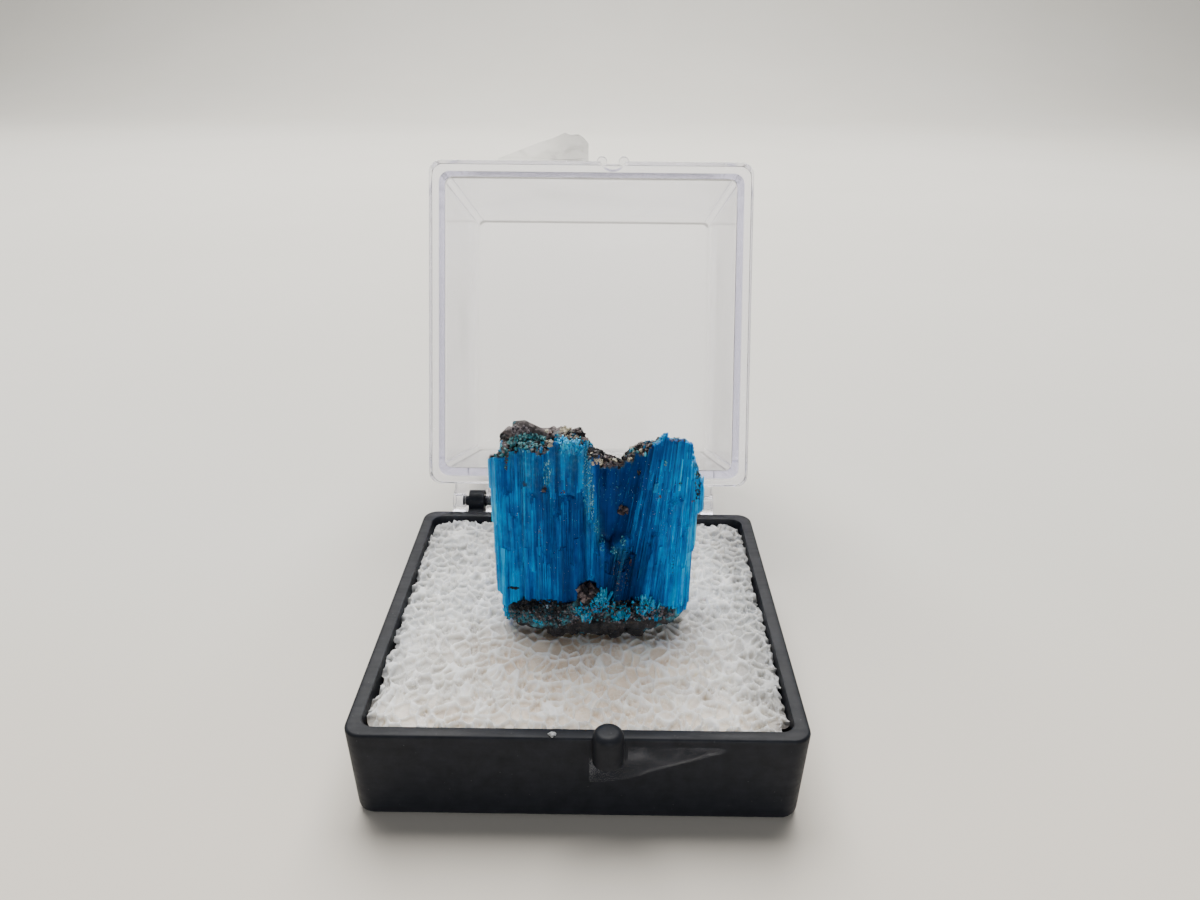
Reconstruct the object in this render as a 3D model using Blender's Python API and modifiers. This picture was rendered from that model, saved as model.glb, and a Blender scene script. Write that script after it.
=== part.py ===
"""Chalcanthite in a hinged display box.

A black tray holds a foam pad, and on the pad stands the specimen: a mass of blue crystal
columns that grew upright between two seams of dark rock. The clear lid hangs on two ears at
the back of the tray and stands open, leaning back against its stop.

The origin is the centre of the tray's underside. +Z is up and +Y points to the hinge.
"""

import math
import random

import bmesh
import bpy
from mathutils import Matrix, Vector

MM = 0.001
GAP = 0.3 * MM
SHORTEST_EDGE = 0.002 * MM
SHARP_ANGLE = math.radians(32)

# The box
BOX_WIDTH = 31.75 * MM
TRAY_FOOT_WIDTH = 30.5 * MM
TRAY_HEIGHT = 7.4 * MM
TRAY_WALL = 1.3 * MM
TRAY_FLOOR = 1.2 * MM
TRAY_CORNER = 1.7 * MM
TRAY_FOOT_EDGE = 0.8 * MM

# The lid, measured with the box closed
LID_TOP = 30.2 * MM
LID_TOP_WIDTH = 29.5 * MM
LID_SKIN = 1.0 * MM
LID_CORNER = 1.2 * MM
FLANGE_WIDTH = 1.65 * MM
FLANGE_HEIGHT = 2.2 * MM
OPEN_ANGLE = math.radians(110.7)

# The hinge
HINGE_SETBACK = 1.655 * MM
HINGE_RISE = 0.25 * MM
EAR_RADIUS = 1.08 * MM
EAR_WIDTH = 1.5 * MM
EAR_X = (-11.0 * MM, 10.3 * MM)
PIN_RADIUS = 0.5 * MM
PIN_PLAY = 0.1 * MM
LUG_WIDTH = 1.2 * MM
LUG_HEEL = 1.12 * MM

# The latch at the front
STUD_X = 2.1 * MM
STUD_RADIUS = 1.05 * MM
STUD_LOW = 6.1 * MM
STUD_HIGH = 8.6 * MM
STUD_OUT = 0.525 * MM
BUMP_SPREAD = 1.08 * MM
BUMP_RADIUS = 0.5 * MM
BUMP_OUT = 0.28 * MM

# Torn clear tape that once sealed the box
TAPE_LEFT = -9.1 * MM
TAPE_RIGHT = 10.1 * MM
TAPE_THICKNESS = 0.12 * MM
TAPE_STANDOFF = 0.15 * MM

# The pad
FOAM_TOP = 7.2 * MM
FOAM_CORNER = 2.4 * MM

# The specimen
ROCK_FOOT = FOAM_TOP + GAP
CRYSTAL_FOOT = 7.7 * MM
FRONT_Y = -4.4 * MM
FACE_BOW = 2.4 * MM
FACE_CENTRE_X = 0.8 * MM
FACE_HALF_WIDTH = 8.0 * MM
COLUMN_STEP = 0.92 * MM
COLUMN_HALF_WIDTH = 0.7 * MM
COLUMN_HALF_DEPTH = 1.4 * MM
INNER_STEP = 1.65 * MM
INNER_HALF_WIDTH = 1.1 * MM
INNER_HALF_DEPTH = 1.4 * MM
ROW_SETBACKS = (2.2 * MM, 4.1 * MM, 5.7 * MM)
ROW_FALL = 0.85 * MM
LEFT_START = -4.9 * MM
LEFT_COLUMNS = 7
RIGHT_FOOT = (1.5 * MM, 7.6 * MM)
RIGHT_LEAN = (math.radians(10), math.radians(1.5))
RIGHT_RISE = 15.5 * MM
RIGHT_FALL = 0.42
RIGHT_SETBACKS = tuple(depth * MM for depth in (2.1, 1.5, 0.8, 0.25, 0.0, 0.15, 0.0, 0.1))
V_DEPTH = 2.4 * MM
BLADE_HALF_WIDTH = 0.27 * MM
BLADE_HALF_DEPTH = 0.45 * MM
BLADE_PROUD = 0.15 * MM
CORE_WIDTH = 9.6 * MM
CORE_TOP = 19.0 * MM
CORE_CENTRE = (0.9 * MM, 0.6 * MM)

TRAY_TOP_HALF = BOX_WIDTH / 2
LID_RIM = TRAY_HEIGHT + GAP
HINGE_Y = TRAY_TOP_HALF + HINGE_SETBACK
HINGE_Z = TRAY_HEIGHT + HINGE_RISE
TRAY_DRAFT = math.atan((BOX_WIDTH - TRAY_FOOT_WIDTH) / 2 / TRAY_HEIGHT)

UPRIGHT_YZ = Matrix(((0, 0, 1, 0), (1, 0, 0, 0), (0, 1, 0, 0), (0, 0, 0, 1)))
UPRIGHT_XZ = Matrix(((1, 0, 0, 0), (0, 0, -1, 0), (0, 1, 0, 0), (0, 0, 0, 1)))


def new_collection(name):
    collection = bpy.data.collections.new(name)
    bpy.context.scene.collection.children.link(collection)
    return collection


for old in list(bpy.data.objects):
    bpy.data.objects.remove(old, do_unlink=True)
PIECES = new_collection("chalcanthite_in_box")
CUTTERS = new_collection("cutters")


def finish(name, colour, roughness, transmission=0.0, ior=1.5, alpha=1.0):
    material = bpy.data.materials.new(name)
    material.use_nodes = True
    shader = material.node_tree.nodes["Principled BSDF"]
    shader.inputs["Base Color"].default_value = (*colour, 1.0)
    shader.inputs["Roughness"].default_value = roughness
    shader.inputs["Metallic"].default_value = 0.0
    shader.inputs["Transmission Weight"].default_value = transmission
    shader.inputs["IOR"].default_value = ior
    shader.inputs["Alpha"].default_value = alpha
    return material


def piece(name, shape, material):
    """A named part of the object, from a bmesh or a mesh in world coordinates."""
    mesh = shape
    if isinstance(shape, bmesh.types.BMesh):
        mesh = bpy.data.meshes.new(name)
        shape.to_mesh(mesh)
        shape.free()
    mesh.name = name
    mesh.materials.clear()
    mesh.materials.append(material)
    made = bpy.data.objects.new(name, mesh)
    PIECES.objects.link(made)
    return made


def tool(name, shape, parent=None):
    """A hidden shape that is only added to or cut from a part."""
    mesh = bpy.data.meshes.new(name)
    shape.to_mesh(mesh)
    shape.free()
    made = bpy.data.objects.new(name, mesh)
    CUTTERS.objects.link(made)
    made.hide_render = True
    made.display_type = "WIRE"
    if parent is not None:
        hang(made, parent)
    return made


def combine(target, operation, *tools, solver="EXACT"):
    for part in tools:
        step = target.modifiers.new(part.name, "BOOLEAN")
        step.operation = operation
        step.solver = solver
        step.object = part


def evaluated_mesh(made):
    bpy.context.view_layer.update()
    graph = bpy.context.evaluated_depsgraph_get()
    return bpy.data.meshes.new_from_object(made.evaluated_get(graph))


def rounded_block(low_width, high_width, low, high, corner, low_edge=0.0, high_edge=0.0):
    """A square block on the Z axis with drafted sides, round corners and round edges."""
    shape = bmesh.new()
    bmesh.ops.create_cube(shape, size=1.0)
    for vert in shape.verts:
        half = (low_width if vert.co.z < 0 else high_width) / 2
        vert.co.x = math.copysign(half, vert.co.x)
        vert.co.y = math.copysign(half, vert.co.y)
        vert.co.z = low if vert.co.z < 0 else high
    upright = [e for e in shape.edges if abs(e.verts[0].co.z - e.verts[1].co.z) > (high - low) / 2]
    bmesh.ops.bevel(
        shape, geom=upright, offset=corner, segments=5, profile=0.5, affect="EDGES", material=-1
    )
    for level, edge in ((low, low_edge), (high, high_edge)):
        if edge > 0:
            ring = [e for e in shape.edges if all(abs(v.co.z - level) < 1e-7 for v in e.verts)]
            bmesh.ops.bevel(
                shape, geom=ring, offset=edge, segments=3, profile=0.5, affect="EDGES", material=-1
            )
    return shape


def rod(radius, length, centre, along="Z", edge=0.0, sides=32):
    """A round rod with an optional rounding at both ends."""
    shape = bmesh.new()
    bmesh.ops.create_cone(
        shape, cap_ends=True, segments=sides, radius1=radius, radius2=radius, depth=length
    )
    if edge > 0:
        rims = [e for e in shape.edges if abs(e.verts[0].co.z - e.verts[1].co.z) < 1e-7]
        bmesh.ops.bevel(
            shape, geom=rims, offset=edge, segments=3, profile=0.5, affect="EDGES", material=-1
        )
    turn = Matrix.Rotation(math.pi / 2, 4, "Y") if along == "X" else Matrix.Identity(4)
    bmesh.ops.transform(shape, matrix=Matrix.Translation(centre) @ turn, verts=shape.verts)
    return shape


def plate(outline, thickness, place):
    """A flat plate: a filled 2D outline, thickened both ways, then put in place."""
    curve = bpy.data.curves.new("outline", "CURVE")
    curve.dimensions = "2D"
    curve.fill_mode = "BOTH"
    curve.extrude = thickness / 2
    spline = curve.splines.new("POLY")
    spline.points.add(len(outline) - 1)
    for point, (across, up) in zip(spline.points, outline):
        point.co = (across, up, 0, 1)
    spline.use_cyclic_u = True
    drawn = bpy.data.objects.new("outline", curve)
    CUTTERS.objects.link(drawn)
    mesh = evaluated_mesh(drawn)
    bpy.data.objects.remove(drawn)
    shape = bmesh.new()
    shape.from_mesh(mesh)
    bpy.data.meshes.remove(mesh)
    bmesh.ops.remove_doubles(shape, verts=shape.verts, dist=1e-6)
    bmesh.ops.transform(shape, matrix=place, verts=shape.verts)
    bmesh.ops.recalc_face_normals(shape, faces=shape.faces)
    return shape


def hang(made, parent):
    """Parents a piece, made in closed-box coordinates, to an empty on the hinge axis."""
    made.parent = parent
    made.location = (0, -HINGE_Y, -HINGE_Z)


def arc(centre, radius, start, end, steps):
    """Points on an arc, its ends given in degrees."""
    points = []
    for step in range(steps + 1):
        angle = math.radians(start + (end - start) * step / steps)
        points.append((centre[0] + radius * math.cos(angle), centre[1] + radius * math.sin(angle)))
    return points


# Tray: one moulding of black polystyrene with the latch stud in front and the hinge ears behind
black_plastic = finish("black_plastic", (0.012, 0.012, 0.014), 0.32)
tray = piece(
    "base_tray",
    rounded_block(
        TRAY_FOOT_WIDTH, BOX_WIDTH, 0, TRAY_HEIGHT, TRAY_CORNER, TRAY_FOOT_EDGE, 0.3 * MM
    ),
    black_plastic,
)
tray_pocket = tool(
    "tray_pocket",
    rounded_block(
        TRAY_FOOT_WIDTH - 2 * TRAY_WALL,
        BOX_WIDTH - 2 * TRAY_WALL + 0.1 * MM,
        TRAY_FLOOR,
        TRAY_HEIGHT + 0.6 * MM,
        TRAY_CORNER - 0.6 * MM,
        0.5 * MM,
    ),
)
combine(tray, "DIFFERENCE", tray_pocket)
stud_centre = Vector((STUD_X, -TRAY_TOP_HALF - STUD_OUT, (STUD_LOW + STUD_HIGH) / 2))
stud = tool(
    "latch_stud", rod(STUD_RADIUS, STUD_HIGH - STUD_LOW, stud_centre, "Z", edge=0.35 * MM)
)
combine(tray, "UNION", stud)

ear_outline = [(TRAY_TOP_HALF - 0.6 * MM, 4.8 * MM)]
ear_outline += arc((HINGE_Y, HINGE_Z), EAR_RADIUS, -75, 195, 20)
ear_outline += [(TRAY_TOP_HALF - 0.6 * MM, TRAY_HEIGHT - 0.1 * MM)]
for number, ear_x in enumerate(EAR_X):
    ear_place = Matrix.Translation((ear_x, 0, 0)) @ UPRIGHT_YZ
    ear = tool(f"ear_{number}", plate(ear_outline, EAR_WIDTH, ear_place))
    pin_length = EAR_WIDTH + 2 * (GAP + 0.75 * LUG_WIDTH)
    pin = tool(f"pin_{number}", rod(PIN_RADIUS, pin_length, (ear_x, HINGE_Y, HINGE_Z), "X"))
    combine(tray, "UNION", ear, pin)

# Foam pad: a square of open foam that fills the tray, its back corners cut round
foam_white = finish("white_foam", (0.82, 0.82, 0.80), 0.9)
foam = piece(
    "foam_pad",
    rounded_block(
        TRAY_FOOT_WIDTH - 2 * TRAY_WALL - 2 * GAP,
        BOX_WIDTH - 2 * TRAY_WALL - 2 * GAP,
        TRAY_FLOOR + GAP,
        FOAM_TOP,
        FOAM_CORNER,
        0.5 * MM,
        0.4 * MM,
    ),
    foam_white,
)

# Lid: one clear moulding, modelled closed and turned open about the hinge
lid_hinge = bpy.data.objects.new("lid_hinge", None)
PIECES.objects.link(lid_hinge)
lid_hinge.location = (0, HINGE_Y, HINGE_Z)
lid_hinge.rotation_euler = (-OPEN_ANGLE, 0, 0)

clear_plastic = finish("clear_plastic", (0.96, 0.96, 0.985), 0.06, 1.0, 1.59, 0.3)
lid_mouth = BOX_WIDTH - 2 * FLANGE_WIDTH
lid_inner_top = LID_TOP_WIDTH - 2 * LID_SKIN
lid = piece(
    "lid",
    rounded_block(
        lid_mouth + 2 * LID_SKIN,
        LID_TOP_WIDTH,
        LID_RIM + 0.5 * MM,
        LID_TOP,
        LID_CORNER - 0.1 * MM,
        0.0,
        0.4 * MM,
    ),
    clear_plastic,
)
hang(lid, lid_hinge)
flange = tool(
    "flange",
    rounded_block(
        BOX_WIDTH, BOX_WIDTH, LID_RIM, LID_RIM + FLANGE_HEIGHT, LID_CORNER, 0.15 * MM, 0.15 * MM
    ),
    lid_hinge,
)
combine(lid, "UNION", flange)

lug_outline = [(HINGE_Y + LUG_HEEL, HINGE_Z - LUG_HEEL)]
lug_outline += arc((HINGE_Y, HINGE_Z), EAR_RADIUS, 0, 70, 6)
lug_outline += [
    (TRAY_TOP_HALF - 0.5 * MM, LID_RIM + FLANGE_HEIGHT - 0.2 * MM),
    (TRAY_TOP_HALF - 0.5 * MM, LID_RIM + 0.1 * MM),
]
lug_outline += arc((HINGE_Y, HINGE_Z), EAR_RADIUS, 180, 270, 8)
lug_step = (EAR_WIDTH + LUG_WIDTH) / 2 + GAP
for number, ear_x in enumerate(EAR_X):
    for side in (-1, 1):
        lug_place = Matrix.Translation((ear_x + side * lug_step, 0, 0)) @ UPRIGHT_YZ
        lug = tool(f"lug_{number}_{side}", plate(lug_outline, LUG_WIDTH, lug_place), lid_hinge)
        combine(lid, "UNION", lug)
lid_hollow = tool(
    "lid_hollow",
    rounded_block(
        lid_mouth + 0.02 * MM, lid_inner_top, LID_RIM - 0.5 * MM, LID_TOP - LID_SKIN, 0.7 * MM
    ),
    lid_hinge,
)
combine(lid, "DIFFERENCE", lid_hollow)
for number, ear_x in enumerate(EAR_X):
    hole_length = EAR_WIDTH + 2 * (GAP + LUG_WIDTH) + 2 * GAP
    hole = rod(PIN_RADIUS + PIN_PLAY, hole_length, (ear_x, HINGE_Y, HINGE_Z), "X")
    combine(lid, "DIFFERENCE", tool(f"pin_hole_{number}", hole, lid_hinge))
notch_low = LID_RIM - 0.5 * MM
notch_high = STUD_HIGH + GAP
notch_centre = (STUD_X, stud_centre.y, (notch_low + notch_high) / 2)
notch = rod(STUD_RADIUS + GAP, notch_high - notch_low, notch_centre)
combine(lid, "DIFFERENCE", tool("stud_notch", notch, lid_hinge))
bump_low = notch_high + 0.1 * MM
bump_high = LID_RIM + FLANGE_HEIGHT - 0.3 * MM
for side in (-1, 1):
    bump_centre = (
        STUD_X + side * BUMP_SPREAD,
        -TRAY_TOP_HALF - BUMP_OUT,
        (bump_low + bump_high) / 2,
    )
    bump = rod(BUMP_RADIUS, bump_high - bump_low, bump_centre, "Z", edge=0.15 * MM, sides=16)
    combine(lid, "UNION", tool(f"latch_bump_{side}", bump, lid_hinge))

# Torn tape: one half stays on the tray's front, the other on the lid's front edge
clear_tape = finish("clear_tape", (0.8, 0.8, 0.8), 0.25, 0.0, 1.47, 0.3)
tape_outline = [
    (STUD_X + STUD_RADIUS + GAP, TRAY_HEIGHT - 0.4 * MM),
    (STUD_X + STUD_RADIUS + GAP, STUD_LOW - GAP),
    (STUD_X - STUD_RADIUS - 0.2 * MM, STUD_LOW - GAP),
    (STUD_X - STUD_RADIUS - 0.2 * MM, 3.7 * MM),
    (3.2 * MM, 4.0 * MM),
    (5.0 * MM, 4.8 * MM),
    (TAPE_RIGHT, TRAY_HEIGHT - 0.6 * MM),
    (TAPE_RIGHT - 0.3 * MM, TRAY_HEIGHT - 0.4 * MM),
]
tape_offset = TAPE_STANDOFF + TAPE_THICKNESS / 2
rim_line = Vector((0, -TRAY_TOP_HALF, TRAY_HEIGHT))
follow_wall = (
    Matrix.Translation(rim_line)
    @ Matrix.Rotation(TRAY_DRAFT, 4, "X")
    @ Matrix.Translation((0, -tape_offset, -TRAY_HEIGHT))
    @ UPRIGHT_XZ
)
piece("tape_on_base", plate(tape_outline, TAPE_THICKNESS, follow_wall), clear_tape)

lid_face = -TRAY_TOP_HALF - TAPE_STANDOFF
strip_outline = [
    (TAPE_LEFT, LID_RIM + 0.2 * MM),
    (-0.3 * MM, LID_RIM + 0.2 * MM),
    (-0.3 * MM, LID_RIM + FLANGE_HEIGHT),
    (TAPE_LEFT, LID_RIM + FLANGE_HEIGHT),
]
strip_place = Matrix.Translation((0, lid_face - TAPE_THICKNESS / 2, 0)) @ UPRIGHT_XZ
lid_tape = piece("tape_on_lid", plate(strip_outline, TAPE_THICKNESS, strip_place), clear_tape)
hang(lid_tape, lid_hinge)
flap_outline = [
    (TAPE_LEFT, lid_face - TAPE_THICKNESS / 2),
    (-2.6 * MM, lid_face - 2.6 * MM),
    (-1.3 * MM, lid_face - 2.2 * MM),
    (-0.3 * MM, lid_face - 1.6 * MM),
    (-0.3 * MM, lid_face - TAPE_THICKNESS / 2),
]
flap_place = Matrix.Translation((0, 0, LID_RIM + 0.2 * MM + TAPE_THICKNESS))
flap = tool("torn_flap", plate(flap_outline, TAPE_THICKNESS, flap_place), lid_hinge)
combine(lid_tape, "UNION", flap)


def lumps(name, centres, spread, voxel, seed):
    """A rough rock: overlapping faceted balls run together into one body."""
    draw = random.Random(seed)
    shape = bmesh.new()
    for x, y, z, radius in centres:
        for _ in range(3):
            jitter = Vector([draw.uniform(-1, 1) * spread for _ in range(3)])
            size = Matrix.Diagonal([radius * draw.uniform(0.75, 1.1) for _ in range(3)] + [1])
            turn = Matrix.Rotation(draw.uniform(0, math.pi), 4, "Z")
            place = Matrix.Translation(Vector((x, y, z)) + jitter) @ turn @ size
            bmesh.ops.create_icosphere(shape, subdivisions=1, radius=1.0, matrix=place)
    made = tool(name, shape)
    remesh = made.modifiers.new("run together", "REMESH")
    remesh.mode = "VOXEL"
    remesh.voxel_size = voxel
    return made


def rock(name, centres, spread, voxel, faces_kept, seed):
    """The rock's own shape, and the same shape grown by the gap that its neighbours keep."""
    grown = lumps(f"{name}_seat", centres, spread, voxel, seed)
    swell = grown.modifiers.new("gap", "DISPLACE")
    swell.mid_level = 0.0
    swell.strength = GAP + 0.05 * MM
    source = lumps(f"{name}_form", centres, spread, voxel, seed)
    for made in (source, grown):
        thin = made.modifiers.new("facets", "DECIMATE")
        thin.ratio = faces_kept
    return source, grown


def along(route, x):
    """Height of a few-point outline at x."""
    for (x0, z0), (x1, z1) in zip(route, route[1:]):
        if x <= x1:
            share = min(1.0, max(0.0, (x - x0) / (x1 - x0)))
            return z0 + (z1 - z0) * share
    return route[-1][1]


def front_face(x):
    """The specimen's front bulges at the middle and falls back to the sides."""
    return FRONT_Y + FACE_BOW * ((x - FACE_CENTRE_X) / FACE_HALF_WIDTH) ** 2


def column(x, y, half_width, half_depth, foot, top, lean, draw, sides=6):
    """One crystal column: a prism with flat faces, leaning in X, its end broken at a slant."""
    shape = bmesh.new()
    bmesh.ops.create_cone(
        shape, cap_ends=True, segments=sides, radius1=1.0, radius2=0.96, depth=1.0
    )
    turn = Matrix.Rotation(math.pi / sides * draw.uniform(-0.35, 0.35), 4, "Z")
    bmesh.ops.transform(shape, matrix=turn, verts=shape.verts)
    slant_x = draw.uniform(-0.5, 0.5)
    slant_y = draw.uniform(-0.1, 0.35)
    for vert in shape.verts:
        across = vert.co.x * half_width
        deep = vert.co.y * half_depth
        if vert.co.z > 0:
            height = top + slant_x * across + slant_y * deep
        else:
            height = foot - 0.5 * slant_x * across
        vert.co = (x + across + math.tan(lean) * (height - CRYSTAL_FOOT), y + deep, height)
    return shape


def fused(name, shapes, cutters, material):
    """All columns united into one body, with the seats of the rocks cut out."""
    body = piece(name, shapes[0], material)
    parts = [tool(f"{name}_{number}", shape) for number, shape in enumerate(shapes[1:])]
    combine(body, "UNION", *parts, solver="MANIFOLD")
    combine(body, "DIFFERENCE", *cutters, solver="MANIFOLD")
    mesh = evaluated_mesh(body)
    body.modifiers.clear()
    for part in parts:
        bpy.data.objects.remove(part, do_unlink=True)
    body.data = mesh
    drop_crumbs(body)
    return body


def drop_crumbs(made):
    """Keeps the largest body of a mesh and removes chips that a cut left loose."""
    shape = bmesh.new()
    shape.from_mesh(made.data)
    bmesh.ops.dissolve_degenerate(shape, dist=SHORTEST_EDGE, edges=shape.edges)
    left = set(shape.verts)
    bodies = []
    while left:
        group = set()
        queue = [left.pop()]
        while queue:
            vert = queue.pop()
            group.add(vert)
            for edge in vert.link_edges:
                other = edge.other_vert(vert)
                if other in left:
                    left.discard(other)
                    queue.append(other)
        bodies.append(group)
    bodies.sort(key=len)
    for crumb in bodies[:-1]:
        bmesh.ops.delete(shape, geom=list(crumb), context="VERTS")
    shape.to_mesh(made.data)
    shape.free()


# Rock seams: the vein's walls, at the specimen's foot and along its top
dark_rock = finish("dark_rock", (0.045, 0.033, 0.03), 0.75)


def in_metres(rows):
    return [tuple(value * MM for value in row) for row in rows]


# Lumps of each seam: x, y, z and radius in millimetres
foot_lumps = in_metres(
    [
        (-4.2, -2.5, 8.5, 1.3),
        (-3.1, -3.1, 8.5, 1.35),
        (-1.5, -3.6, 8.5, 1.4),
        (0.4, -3.8, 8.6, 1.45),
        (2.3, -3.7, 8.5, 1.4),
        (4.1, -3.2, 8.5, 1.4),
        (5.7, -2.3, 8.5, 1.3),
        (6.8, -1.2, 8.5, 1.1),
        (-3.6, -3.3, 9.5, 0.8),
        (-2.2, -3.8, 9.7, 0.8),
        (-0.8, -4.0, 10.0, 0.85),
        (0.4, -4.1, 10.7, 0.7),
        (0.5, -4.2, 11.6, 0.75),
        (1.8, -4.0, 9.8, 0.85),
        (3.4, -3.7, 9.4, 0.8),
        (5.2, -3.1, 9.0, 0.75),
        (-2.8, -0.6, 8.7, 1.6),
        (0.0, -0.8, 8.8, 1.8),
        (3.0, -0.6, 8.8, 1.8),
        (-2.0, 2.0, 8.7, 1.6),
        (0.8, 2.2, 8.7, 1.7),
        (3.6, 2.2, 8.7, 1.6),
        (6.0, 1.2, 8.7, 1.3),
    ]
)
top_lumps = in_metres(
    [
        (-5.3, -1.8, 23.1, 0.75),
        (-4.4, -1.3, 23.4, 0.95),
        (-3.3, -1.1, 23.1, 0.9),
        (-2.3, -0.9, 23.0, 0.8),
        (-1.4, -1.0, 23.3, 0.8),
        (-0.4, -0.7, 23.0, 0.75),
        (0.4, 0.1, 21.7, 0.85),
        (1.3, 0.7, 20.7, 0.8),
        (2.3, 1.1, 20.0, 0.75),
        (-4.5, 0.4, 22.7, 1.0),
        (-2.8, 0.8, 22.6, 1.0),
        (-1.0, 1.0, 22.2, 1.0),
        (-3.6, 2.2, 21.8, 0.9),
        (-1.6, 2.6, 21.4, 0.9),
    ]
)
lower_form, lower_seat = rock("lower_matrix", foot_lumps, 0.35 * MM, 0.42 * MM, 0.17, 5)
upper_form, upper_seat = rock("upper_matrix", top_lumps, 0.2 * MM, 0.3 * MM, 0.19, 9)

# Crystals: upright columns in rows, fused, with a deep V broken out between a left block and
# a right block
chalcanthite_blue = finish("chalcanthite_blue", (0.0, 0.13, 0.45), 0.3, 0.2, 1.53)
left_top = in_metres(
    [(-5.5, 22.7), (-3.8, 23.1), (-2.2, 23.2), (-0.9, 23.8), (0.1, 23.7), (0.6, 22.5)]
)
# The right block's outline as it would stand at the front plane
right_top = in_metres(
    [(3.2, 23.1), (4.5, 23.8), (5.8, 24.0), (7.3, 23.9), (7.9, 23.2), (8.6, 21.4), (9.3, 18.7)]
)
draw = random.Random(23)
core = rounded_block(CORE_WIDTH, CORE_WIDTH, CRYSTAL_FOOT + 1.0 * MM, CORE_TOP, 1.4 * MM)
bmesh.ops.scale(core, vec=(1, 0.5, 1), verts=core.verts)
bmesh.ops.translate(core, vec=(CORE_CENTRE[0], CORE_CENTRE[1], 0), verts=core.verts)
columns = [core]


def add_column(x, setback, half_width, half_depth, foot, top, lean=0.0, sides=6):
    """A column whose front stands setback behind the bulging face."""
    y = front_face(x) + setback + half_depth
    columns.append(column(x, y, half_width, half_depth, foot, top, lean, draw, sides))


def add_right_column(foot_x, setback, half_width, half_depth, foot, drop):
    """A column of the right block: the block fans out, and its top falls towards the back."""
    share = (foot_x - RIGHT_FOOT[0]) / (RIGHT_FOOT[1] - RIGHT_FOOT[0])
    lean = RIGHT_LEAN[0] + (RIGHT_LEAN[1] - RIGHT_LEAN[0]) * share
    fall = RIGHT_FALL * (front_face(foot_x) + setback + half_depth - FRONT_Y)
    top = along(right_top, foot_x + RIGHT_RISE * math.tan(lean)) - fall - drop
    add_column(foot_x, setback, half_width, half_depth, foot, top, lean)


# Front row of the left block
for step in range(LEFT_COLUMNS):
    x = LEFT_START + COLUMN_STEP * step
    add_column(
        x,
        draw.uniform(0, 0.25) * MM,
        draw.uniform(0.9, 1.15) * COLUMN_HALF_WIDTH,
        COLUMN_HALF_DEPTH,
        CRYSTAL_FOOT,
        along(left_top, x) - draw.uniform(0, 0.3) * MM,
    )
# Ledges stepping down the left side: x, foot and top in millimetres
for x, foot, top in in_metres(
    [(-6.3, 19.1, 21.6), (-6.1, 15.9, 22.1), (-6.0, 9.9, 21.2), (-5.55, 7.8, 19.0)]
):
    add_column(x, 0, 0.75 * MM, COLUMN_HALF_DEPTH, foot, top)
# Broken stumps below the V: x and top
for x, top in in_metres([(1.35, 14.9), (2.1, 14.6), (2.9, 15.4)]):
    add_column(x, 0, COLUMN_HALF_WIDTH, COLUMN_HALF_DEPTH, CRYSTAL_FOOT, top)
# The dark wall at the back of the V: x and top
for x, top in in_metres([(0.9, 21.2), (2.1, 20.7), (3.2, 21.2)]):
    add_column(x, V_DEPTH, INNER_HALF_WIDTH, INNER_HALF_DEPTH, CRYSTAL_FOOT, top)
# Front row of the right block, its left end stepping back into the V
for step, setback in enumerate(RIGHT_SETBACKS):
    add_right_column(
        RIGHT_FOOT[0] + (RIGHT_FOOT[1] - RIGHT_FOOT[0]) * step / (len(RIGHT_SETBACKS) - 1),
        setback,
        draw.uniform(0.9, 1.15) * COLUMN_HALF_WIDTH,
        COLUMN_HALF_DEPTH,
        CRYSTAL_FOOT + 0.08 * step * MM,
        draw.uniform(0.2, 0.5) * MM,
    )
# A broken shoulder on the right side
for x, foot, top in in_metres([(8.5, 17.0, 19.4), (8.15, 14.0, 21.0)]):
    add_column(x, 0, 0.75 * MM, COLUMN_HALF_DEPTH, foot, top)

# Inner and back rows, broader and less regular
for row, setback in enumerate(ROW_SETBACKS):
    for step in range(4):
        x = LEFT_START + INNER_STEP * step + 0.25 * row * MM
        add_column(
            x,
            setback + draw.uniform(-0.3, 0.3) * MM,
            draw.uniform(0.9, 1.1) * INNER_HALF_WIDTH,
            INNER_HALF_DEPTH,
            CRYSTAL_FOOT + draw.uniform(0, 0.6) * MM,
            along(left_top, x) - row * ROW_FALL - draw.uniform(0.1, 0.5) * MM,
        )
    for step in range(3):
        add_right_column(
            RIGHT_FOOT[0] + INNER_STEP * (step + 1.1),
            setback + draw.uniform(-0.3, 0.3) * MM,
            draw.uniform(0.9, 1.1) * INNER_HALF_WIDTH,
            INNER_HALF_DEPTH,
            CRYSTAL_FOOT + draw.uniform(0, 0.6) * MM,
            draw.uniform(0.0, 0.4) * MM,
        )
# Slim blades standing proud of the front
for step in range(8):
    add_column(
        LEFT_START + (0.78 * step + draw.uniform(-0.4, 0.1)) * MM,
        -BLADE_PROUD,
        BLADE_HALF_WIDTH,
        BLADE_HALF_DEPTH,
        draw.uniform(11.5, 13.5) * MM,
        draw.uniform(17.0, 21.5) * MM,
        sides=4,
    )
for step in range(4):
    add_column(
        (4.1 + 1.05 * step) * MM,
        -BLADE_PROUD,
        BLADE_HALF_WIDTH,
        BLADE_HALF_DEPTH,
        draw.uniform(10.5, 12.5) * MM,
        draw.uniform(16.0, 20.5) * MM,
        RIGHT_LEAN[0] * (1 - 0.2 * step),
        sides=4,
    )
fused("chalcanthite", columns, (lower_seat, upper_seat), chalcanthite_blue)


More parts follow.
